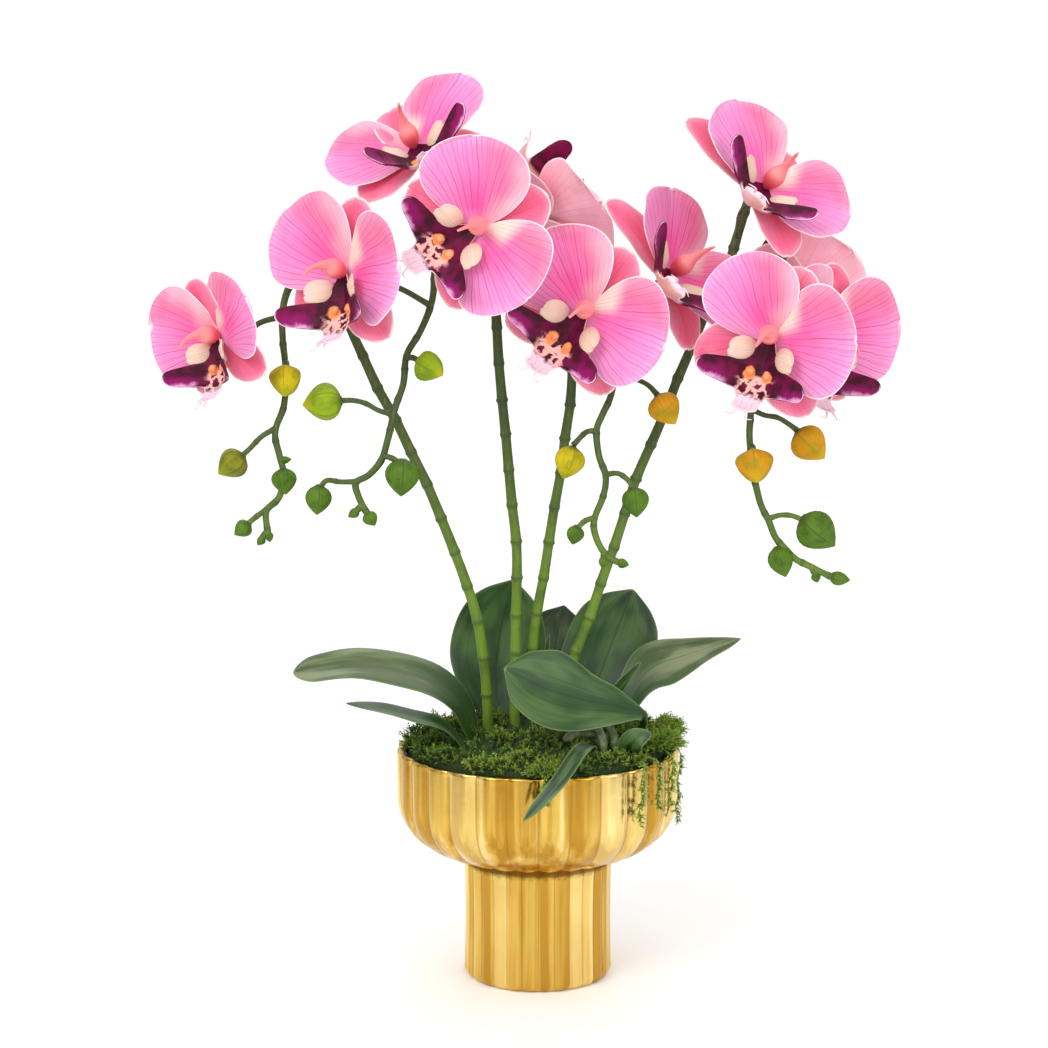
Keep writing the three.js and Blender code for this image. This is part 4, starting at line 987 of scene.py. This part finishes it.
lip = {
    "half": [(0, 2.6), (0.16, 7), (0.24, 10), (0.28, 12), (0.32, 26), (0.36, 30), (0.43, 32), (0.5, 31),
             (0.55, 27), (0.6, 12), (0.65, 9), (0.75, 7.5), (0.84, 7.5), (0.93, 5), (1, 1.6)],
    "scoop": [(0, 1, 3.4), (0, -9, 3.6), (0, -17, 4.2), (0, -25, 6), (0, -33, 11), (0, -38, 18),
              (0, -40, 27)],
    "column": [(0, 1.5, 3.1), (0, 2.5, 7), (0, 4, 13), (0, 5, 20), (0, 3, 30), (0, -2, 38)],
    "wisp": [(2, -38.5, 24), (3, -41, 28), (4.5, -43, 29.5), (8, -42.5, 28)],
    "columnHalf": [(0, 2.2), (0.14, 5), (0.3, 5.4), (0.45, 3), (0.7, 1.4), (1, 0.7)],
    "thick": 0.9, "rows": 70, "columns": 34, "rise": 24, "reach": 30, "span": 60,
    "wine": rgb(108, 0, 58), "dark": rgb(62, 0, 30), "magenta": rgb(150, 8, 104), "pink": rgb(240, 164, 216),
    "white": rgb(252, 232, 242), "web": rgb(248, 186, 176), "blunt": rgb(242, 210, 226),
    "under": rgb(226, 168, 160),
    "cream": rgb(230, 200, 178), "creamVein": rgb(190, 122, 120), "coral": rgb(230, 78, 92),
    "orange": rgb(252, 148, 84), "spur": rgb(246, 142, 144),
}


def lipFace():
    f = Finish("lipWine", Specular_IOR_Level=0.22)
    x, d, edge, chance = f.marks()       # from the middle and towards the tip, over the span
    x, d = x * lip["span"], d * lip["span"]
    cloud = f.noise(120, 3)
    jag = f.noise(420, 2)
    wide = x.size()
    down = d + cloud * 5 - 2.5
    outer = down + wide * 0.16
    flat = f.join(x + cloud * 9, d + jag * 5, chance * 9)
    cells = f.make("TexVoronoi", {"feature": "DISTANCE_TO_EDGE"}, {"Vector": flat, "Scale": 0.17}, "Distance")
    zone = down.step(20, 22.5) * down.fade(31, 34) * (wide + jag * 6).fade(10, 15)
    # ragged spots over the callus
    star = (wide - 5.4) ** 2 * (0.35 + jag * 1.4) + (down - 20.5) ** 2 * (0.2 + cloud * 0.9)
    wisp = (x + cloud * 5).wave()
    color = f.layers(
        lip["dark"], (cloud.step(0.4, 0.65), lip["wine"]),
        (wide.step(13, 22) * (outer + cloud * 5).step(24, 30) * 0.75, lip["magenta"]),
        (wide.step(14, 19) * (outer + cloud * 4).step(30, 33.5), lip["pink"]),
        (cells.fade(0.08, 0.2) * zone * (0.6 + jag), lip["web"]), (star.fade(6, 13), lip["orange"]),
        ((down + jag * 5).step(34, 37) * wide.fade(14, 16), lip["blunt"]),
        (wisp.fade(0.0, 0.35) * down.step(34, 36) * 0.3, lip["magenta"]),
        (edge.fade(0.03, 0.08) * outer.step(22, 26) * 0.8, lip["white"]))
    return f.wear(color, 0.5 + cloud * 0.15, cloud + wisp * 0.3, 0.3, 0.4 * mm)


def lipBack():
    f = Finish("lipUnder", Specular_IOR_Level=0.25)
    x, edge = f.mark("mark")[0], f.mark("extra")[0]
    cloud = f.noise(90, 3)
    wide = x.size() * lip["span"] + cloud * 4
    wine = f.mix(cloud.step(0.4, 0.6), lip["dark"], lip["wine"])
    color = f.layers(
        lip["under"], (cloud.step(0.35, 0.7) * 0.6, lip["blunt"]), (wide.step(12, 15), wine),
        (edge.fade(0.04, 0.1) * wide.fade(11, 14), lip["white"]))
    return f.wear(color, 0.5, cloud, 0.25, 0.4 * mm)


def earFinish():
    f = Finish("earCream", Subsurface_Weight=0.1, Subsurface_Scale=0.003)
    along, across = f.mark("mark")
    cloud = f.noise(100, 3)
    vein = (across * 9 + cloud * 3).ridges()
    color = f.layers(
        lip["cream"], (vein.fade(0.0, 0.45) * 0.35, lip["creamVein"]),
        (cloud.step(0.45, 0.7) * 0.35, lip["blunt"]), (along.fade(0.0, 0.3) * 0.7, lip["coral"]))
    return f.wear(color, 0.6, vein * 0.5 + cloud, 0.3, 0.5 * mm)


def columnFinish():
    f = Finish("columnCoral", Subsurface_Weight=0.2, Subsurface_Scale=0.003)
    along = f.mark("mark")[0]
    cloud = f.noise(120, 3)
    color = f.layers(lip["coral"], (along.step(0.14, 0.36), lip["spur"]),
                     (cloud.step(0.4, 0.7) * 0.35, lip["spur"]))
    return f.wear(color, 0.45, cloud, 0.2, 0.3 * mm)


def callusFinish():
    f = Finish("callusOrange", Subsurface_Weight=0.1, Subsurface_Scale=0.002)
    cloud = f.noise(300, 3)
    color = f.mix(cloud.step(0.45, 0.7) * 0.6, lip["orange"], lip["web"])
    return f.wear(color, 0.45, cloud, 0.3, 0.4 * mm)


def lipGrid(tweak):
    s = np.linspace(0, 1, lip["rows"] + 1)
    v = crowded(1, -1, lip["columns"] + 1)
    half = (widths(lip["half"])(s) * rounded(s, 0.93, 0.074, 0.12))[:, None]
    spine = Route(lip["scoop"]).at(s)[:, None]
    x = half * v
    aside, broad = np.abs(x) / lip["reach"], ease(half, 10, 24)
    y = spine[..., 1] + 0.04 * np.abs(x)
    z = spine[..., 2] + lip["rise"] * aside ** 1.25
    z = z + 0.7 * (spine[..., 1] + 21) * np.clip(aside, 0, 1) * broad
    z = z + 1.1 * broad * np.abs(v) * np.sin(np.abs(v) * 3.0 + tweak)
    z = z + 0.6 * np.sin(x * 0.5 + tweak) * ease(s, 0.3, 0.6)[:, None]
    flat = np.stack([x, -y], -1)
    gaps = edgeGaps(flat, 14)
    extras = pairs(np.clip(gaps / edgeUnit, 0, 2), tweak % 1)
    return np.stack([x, y, z], -1), flat / lip["span"], extras, gaps


def earGrid(hand):
    s = crowded(0, 1, 15)[:, None]
    v = crowded(-1, 1, 15) * hand
    wide = 1.6 + 5.8 * outline(np.clip(s, 0, 0.9999), 0.7, 0.45)
    bowl = 2.2 * (1 - v ** 2) * np.sin(s * np.pi)
    x = hand * (5.6 + 13 * s - bowl)
    y = -7.5 - 1.5 * s + wide * v
    z = 5 + 12.5 * s ** 1.3 + bowl + 0.48 * s * np.sin(v * 7)
    return np.stack([x, y, z], -1), pairs(s, v / 2 + 0.5)


def makeLip(letter, place, finishes):
    axes, at = bloomAxes(place)
    turn = math.radians(-place.get("twist", 0))
    spin = np.array([[math.cos(turn), math.sin(turn), 0], [-math.sin(turn), math.cos(turn), 0], [0, 0, 1]])
    put = lambda points: at + (np.asarray(points) @ spin) @ axes
    shape = Shape()
    grid, marks, extras, gaps = lipGrid(rng.uniform(0, 6))
    addBlade(shape, put(grid), lip["thick"] * (0.5 + 0.5 * ease(gaps, 0, 2)), marks, extras, (0, 1, 1))
    for hand in (1, -1):
        ear, marks = earGrid(hand)
        addBlade(shape, put(ear), lip["thick"], marks, (0, 0), (2, 2, 2))
    t = np.linspace(0, 1, 40)
    share = np.repeat(pairs(t, 0), 16, 0)
    addTube(shape, put(Route(lip["column"]).at(t)), widths(lip["columnHalf"])(t), 16, marks=share, slot=3)
    for x in (-5.2, 5.2):
        foot, top = put([x, -19.8, 5.6]), put([x, -18.6, 9.6])
        bead = [(a, 2.7 * math.sqrt(max(1 - (2 * a - 1) ** 2, 0.01))) for a in np.linspace(0, 1, 10)]
        addEgg(shape, foot, top - foot, 4.2, bead, 16, 0.6, 4, 4)
    run = np.linspace(0, 1, 14)
    for hand in (-1, 1):                 # the two thin wisps at the tip
        wisp = Route(np.array(lip["wisp"]) * [hand, 1, 1]).at(run)
        addTube(shape, put(wisp), 0.8 - 0.6 * run, 8, marks=(0.0, 0.6), extras=(0.5, 0.5))
    settle(shape.build("lip_" + letter + "_wings", finishes), "lip_" + letter)


lipFinishes = [lipFace(), lipBack(), earFinish(), columnFinish(), callusFinish()]
for letter, place in blooms.items():
    makeLip(letter, place, lipFinishes)
print("lips done")

# Potting fill and moss

moss = {
    "edge": 143.5, "crown": 153, "base": 136.4, "bump": 3.2, "radius": 78.5,
    "rings": 40, "spokes": 120, "fronds": 2700, "clumpFronds": 1900, "strandFronds": 60,
    "deep": rgb(14, 26, 5), "mid": rgb(54, 88, 18), "bright": rgb(124, 164, 42), "lime": rgb(170, 194, 66),
    "tufts": 66, "tuftFronds": 52, "tuftSize": (6, 10), "tuftHigh": (2.5, 6), "tuftLimit": 79,
    "clumps": [((74, -26, 148), (12, 16, 7)), ((79, 4, 149), (8, 18, 7)), ((4, -81, 144), (11, 6, 3))],
    "strands": [[(80, -28, 149), (84.5, -30, 145), (83.6, -31.5, 130), (82.4, -32, 104)],
                [(75, -36, 148), (79, -43, 144.5), (79, -44.5, 134), (77.5, -45.5, 117)],
                [(56, -50, 144), (62, -62.5, 145.6), (60.5, -66.5, 138), (59, -68, 110)],
                [(2, -78, 145), (5, -87, 145.6), (4, -89.2, 140), (3, -90, 128)],
                [(62, -46, 146), (70, -54, 145.2), (70.5, -55, 136), (70, -56, 118)]],
}


def soilFinish():
    f = Finish("soilBrown")
    crumb = f.noise(420, 5, 0.7)
    color = f.mix(crumb.step(0.35, 0.7), rgb(22, 16, 10), rgb(74, 54, 34))
    return f.wear(color, 0.95, crumb, 0.8, 1.5 * mm)


def mossFinish():
    f = Finish("mossGreen")
    along, chance = f.mark("mark")
    tone = f.mark("extra")[0]
    cloud = f.noise(45, 3)
    # darker towards each frond's foot, near black there: partly the moss's own darker stems, partly painted
    # shade down in the mat
    color = f.layers(
        moss["deep"], (along.step(0.0, 0.75) * (0.35 + cloud), moss["mid"]),
        (along.step(0.45, 1.0) * chance * 0.9, moss["bright"]),
        (tone * along.step(0.2, 0.8) * 0.8, moss["lime"]))
    return f.wear(color, 0.75 + chance * 0.1)


def mossHeight(x, y):
    share = np.hypot(x, y) / moss["radius"]
    lift = moss["bump"] * np.sin(x * 0.41 + 1.3 * np.sin(y * 0.23)) * np.cos(y * 0.37 + x * 0.11)
    rough = 0.9 * np.sin(x * 1.3 + y * 0.7) * np.cos(y * 1.1 - x * 0.5)
    return moss["crown"] + (moss["edge"] - moss["crown"]) * share ** 2 + np.maximum(lift, -2) + rough


# small bent stalks with leaflets, one on each point of the base
def addFronds(shape, base, up, long, tone):
    n = len(base)
    lead = unit(up + rng.normal(0, 1, (n, 3)) * [1, 1, 0.4] * 0.55)
    curl = unit(rng.normal(0, 1, (n, 3)) + [0, 0, -0.4])
    first = unit(np.cross(lead, curl))
    second = unit(np.cross(first, lead))
    spine = lambda at: base + long[:, None] * (lead * at + curl * 0.45 * at ** 2)
    ring = ringRound(first[:, None], second[:, None], circle(3))
    chance = rng.uniform(0, 1, n)
    points, shade, tris = [], [], [[0, 2, 1], [9, 10, 11]]
    for at, radius in ((0, 0.36), (0.35, 0.32), (0.7, 0.24), (1.0, 0.07)):
        points.append(spine(at)[:, None] + ring * radius)
        shade += [at] * 3
    for k, at in enumerate((0.25, 0.45, 0.65, 0.85)):
        middle = spine(at)
        for hand in (-1, 1):
            wander = rng.normal(0, 0.35, (n, 3))
            out = unit(first * hand + lead * 0.7 + second * (0.5 if k % 2 else -0.5) + wander)
            size = (2.1 - 0.9 * at) * rng.uniform(0.7, 1.25, n)[:, None]
            flat = unit(np.cross(out, lead))
            tris += [[len(shade) + i for i in face] for face in ((0, 1, 2), (0, 3, 1), (1, 3, 2), (2, 3, 0))]
            points.append(np.stack([middle - lead * 0.42, middle + lead * 0.42, middle + flat * 0.16,
                                    middle + out * size], 1))
            shade += [at, at, at, min(1, at + 0.25)]
    per = len(shade)
    offset = (np.arange(n) * per)[:, None, None]
    quads = (gridFaces(3, 3, wrap=True) + offset).reshape(-1, 4)
    extras = np.repeat(np.stack([tone, chance], -1), per, 0)
    shape.add(np.concatenate(points, 1), quads, pairs(shade, chance[:, None]), extras)
    shape.fill((np.array(tris) + offset).reshape(-1, 3), n * per)


# the mat's own skin: rings of points round a hub, a skirt and a floor
def addMat(shape):
    rings, spokes, radius = moss["rings"], moss["spokes"], moss["radius"]
    turn = circle(spokes)
    reach = (np.linspace(0, 1, rings + 1)[1:] * radius)[:, None]
    x, y = np.append(0, reach * np.cos(turn)), np.append(0, reach * np.sin(turn))
    top = np.stack([x, y, mossHeight(x, y)], -1)
    skirt = np.stack([radius * np.cos(turn), radius * np.sin(turn), 0 * turn + moss["base"]], -1)
    points = np.concatenate([top, skirt, [(0, 0, moss["base"])]])
    k, last = np.arange(spokes), 1 + rings * spokes
    after = (k + 1) % spokes
    hub = np.stack([0 * k, 1 + k, 1 + after], -1)
    under = np.stack([0 * k + len(points) - 1, last + after, last + k], -1)
    # the mat's skin takes the dark colour of a frond's lower part, partly painted shade
    shape.add(points, gridFaces(rings, spokes, wrap=True) + 1, (0.3, 0.3))
    shape.fill(np.concatenate([hub, under]), len(points))


def makeBed(finish):
    shape = Shape()
    addMat(shape)
    n = moss["fronds"]
    angle = rng.uniform(0, fullTurn, n)
    reach = rng.uniform(0.02, 1, n) ** 0.36 * (moss["radius"] - 0.8)
    x, y = reach * np.sin(angle), -reach * np.cos(angle)
    start = np.stack([x, y, mossHeight(x, y) - 0.8], -1)
    up = np.stack([x * 0.003, y * 0.003, 1 + 0 * x], -1)
    long = rng.uniform(3.6, 7.5, n)
    tone = rng.uniform(0, 0.35, n) * (rng.uniform(0, 1, n) > 0.5)
    addFronds(shape, start, up, long, tone)
    settle(shape.build("moss_bed", [finish], smooth=False), "moss")


def makeTufts(finish):
    shape = Shape()
    n = moss["tuftFronds"]
    for k in range(moss["tufts"]):       # three of five stand at the rim
        reach = rng.uniform(72, 78) if k % 5 > 1 else rng.uniform(18, 70)
        angle = k * 0.618 % 1 * fullTurn
        across, high = rng.uniform(*moss["tuftSize"]), rng.uniform(*moss["tuftHigh"])
        x, y = reach * math.sin(angle), -reach * math.cos(angle)
        away = unit(rng.normal(0, 1, (n, 3)) + [0, 0, 0.5])
        away[:, 2] = np.abs(away[:, 2])
        limit = moss["tuftLimit"] / max(moss["tuftLimit"], reach + across * 0.6)
        start = away * [across * 0.7, across * 0.7, high] + [x * limit, y * limit, mossHeight(x, y) - 1.5]
        tone = np.clip(rng.uniform(-0.3, 0.7) + rng.uniform(-0.1, 0.2, n), 0, 1)
        addFronds(shape, start, away + [0, 0, 0.4], rng.uniform(3.2, 6.5, n), tone)
    settle(shape.build("moss_tufts", [finish], smooth=False), None)


def makeSpill(finish):
    shape = Shape()
    for at, size in moss["clumps"]:
        n = int(moss["clumpFronds"] * size[0] * size[1] / 520)
        away = unit(rng.normal(0, 1, (n, 3)))
        away[:, 2] = np.abs(away[:, 2])
        start = np.array(at) + away * np.array(size) * 0.7
        addFronds(shape, start, away + [0, 0, 0.25], rng.uniform(3.2, 7.5, n), rng.uniform(0.0, 0.7, n))
    n = moss["strandFronds"]
    for way in moss["strands"]:
        t = np.linspace(0, 1, 40)
        wander = np.stack([0.7 * np.sin(t * 21), 0.3 * np.cos(t * 17) - 0.4, 0 * t], -1) * t[:, None]
        middle = Route(way).at(t) + wander
        addTube(shape, middle, 0.4, 6, marks=(0.6, 0.8), extras=(0.8, 0))
        pick = rng.integers(6, 40, n)
        outward = unit(middle[pick] * [1, 1, 0])
        drift = np.cross(outward, [0, 0, 1]) * rng.choice([-1, 1], n)[:, None]
        addFronds(shape, middle[pick], drift + outward * 0.5 - [0, 0, 0.5], rng.uniform(1.8, 4.6, n),
                  rng.uniform(0.7, 1.0, n))
    settle(shape.build("moss_spill", [finish], smooth=False), None)


mossGreen = mossFinish()
makeBed(mossGreen)
makeTufts(mossGreen)
makeSpill(mossGreen)
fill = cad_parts["potting_fill"]
fill.data.materials.clear()
fill.data.materials.append(soilFinish())
print("moss done")

# Floor, light and camera

studio = {
    "floor": 0.62, "floorColor": (0.98, 0.98, 0.98), "floorShade": (0.9, 0.9, 0.9),
    "eye": (-0.0084, -1.5, 0.502), "tilt": 8.5, "lens": 86.84, "sensor": 36.0, "farthest": 60, "room": 0.92,
    "lights": [("key", (-1.1, -1.5, 1.5), (0, 0, 0.35), (1.2, 1.2), 20.0),
               ("fill", (1.4, -1.2, 0.8), (0, 0, 0.3), (1.0, 1.4), 8.0),
               ("back", (0.3, 1.4, 1.6), (0, 0, 0.35), (1.4, 1.0), 8.0),
               ("front", (0.2, -1.9, 1.0), (0, 0, 0.3), (1.6, 0.9), 6.0)],
    "sides": [(0.0, (0.5, 0.49, 0.47)), (0.1, (1.1, 1.1, 1.1)), (0.2, (1.2, 1.2, 1.2)),
              (0.3, (0.35, 0.33, 0.3)), (0.42, (0.9, 0.9, 0.9)), (0.55, (0.3, 0.28, 0.25)),
              (0.68, (1.1, 1.1, 1.1)), (0.85, (0.5, 0.48, 0.45)), (1.0, (1.0, 1.0, 1.0))],
}


def makeFloor():
    rim = [(studio["floor"] * math.cos(t), studio["floor"] * math.sin(t), 0) for t in circle(96)]
    mesh = bpy.data.meshes.new("floor")
    mesh.from_pydata(rim, [], [tuple(range(len(rim)))])
    f = Finish("floorPale", Roughness=0.8)
    grain = f.noise(6, 2)
    mesh.materials.append(f.wear(f.mix(grain * 0.05, studio["floorColor"], studio["floorShade"])))
    floor = bpy.data.objects.new("floor", mesh)
    bpy.context.scene.collection.objects.link(floor)


def areaLight(name, at, towards, size, power):
    light = bpy.data.lights.new(name, "AREA")
    light.shape, light.size, light.size_y, light.energy = "RECTANGLE", size[0], size[1], power
    lamp = bpy.data.objects.new(name, light)
    lamp.location = at
    x, y, z = np.array(towards) - np.array(at)
    lamp.rotation_euler = (math.atan2(math.hypot(x, y), -z), 0, math.atan2(y, x) - math.pi / 2)
    bpy.context.scene.collection.objects.link(lamp)


def makeWorld():
    world = bpy.data.worlds.new("studio")
    world.use_nodes = True
    bpy.context.scene.world = world
    p = Paint(world.node_tree)
    ground = world.node_tree.nodes["Background"]
    look = p.make("TexCoord", None, None, "Generated")
    x, y, z = [p.make("SeparateXYZ", None, {0: look}, k) for k in range(3)]
    around = x.size().calc("ARCTAN2", y * -1) / math.pi
    belt = p.make("ValToRGB", {"stops": studio["sides"]}, {"Fac": around})
    room = p.mix(z.size().step(0.3, 0.75), belt, (1.0, 1.0, 1.0))
    seen = p.make("LightPath", None, None, "Is Camera Ray")
    p.plugIn(ground.inputs["Color"], p.mix(seen, room, (1.2, 1.2, 1.2)))
    ground.inputs["Strength"].default_value = studio["room"]


def makeCamera():
    data = bpy.data.cameras.new("camera")
    data.lens, data.sensor_width, data.clip_end = studio["lens"], studio["sensor"], studio["farthest"]
    camera = bpy.data.objects.new("camera", data)
    camera.location = studio["eye"]
    camera.rotation_euler = (math.radians(90 - studio["tilt"]), 0, 0)
    bpy.context.scene.collection.objects.link(camera)
    bpy.context.scene.camera = camera


makeFloor()
for light in studio["lights"]:
    areaLight(*light)
makeWorld()
makeCamera()
bpy.context.scene.view_settings.view_transform = "Standard"
print("studio done")
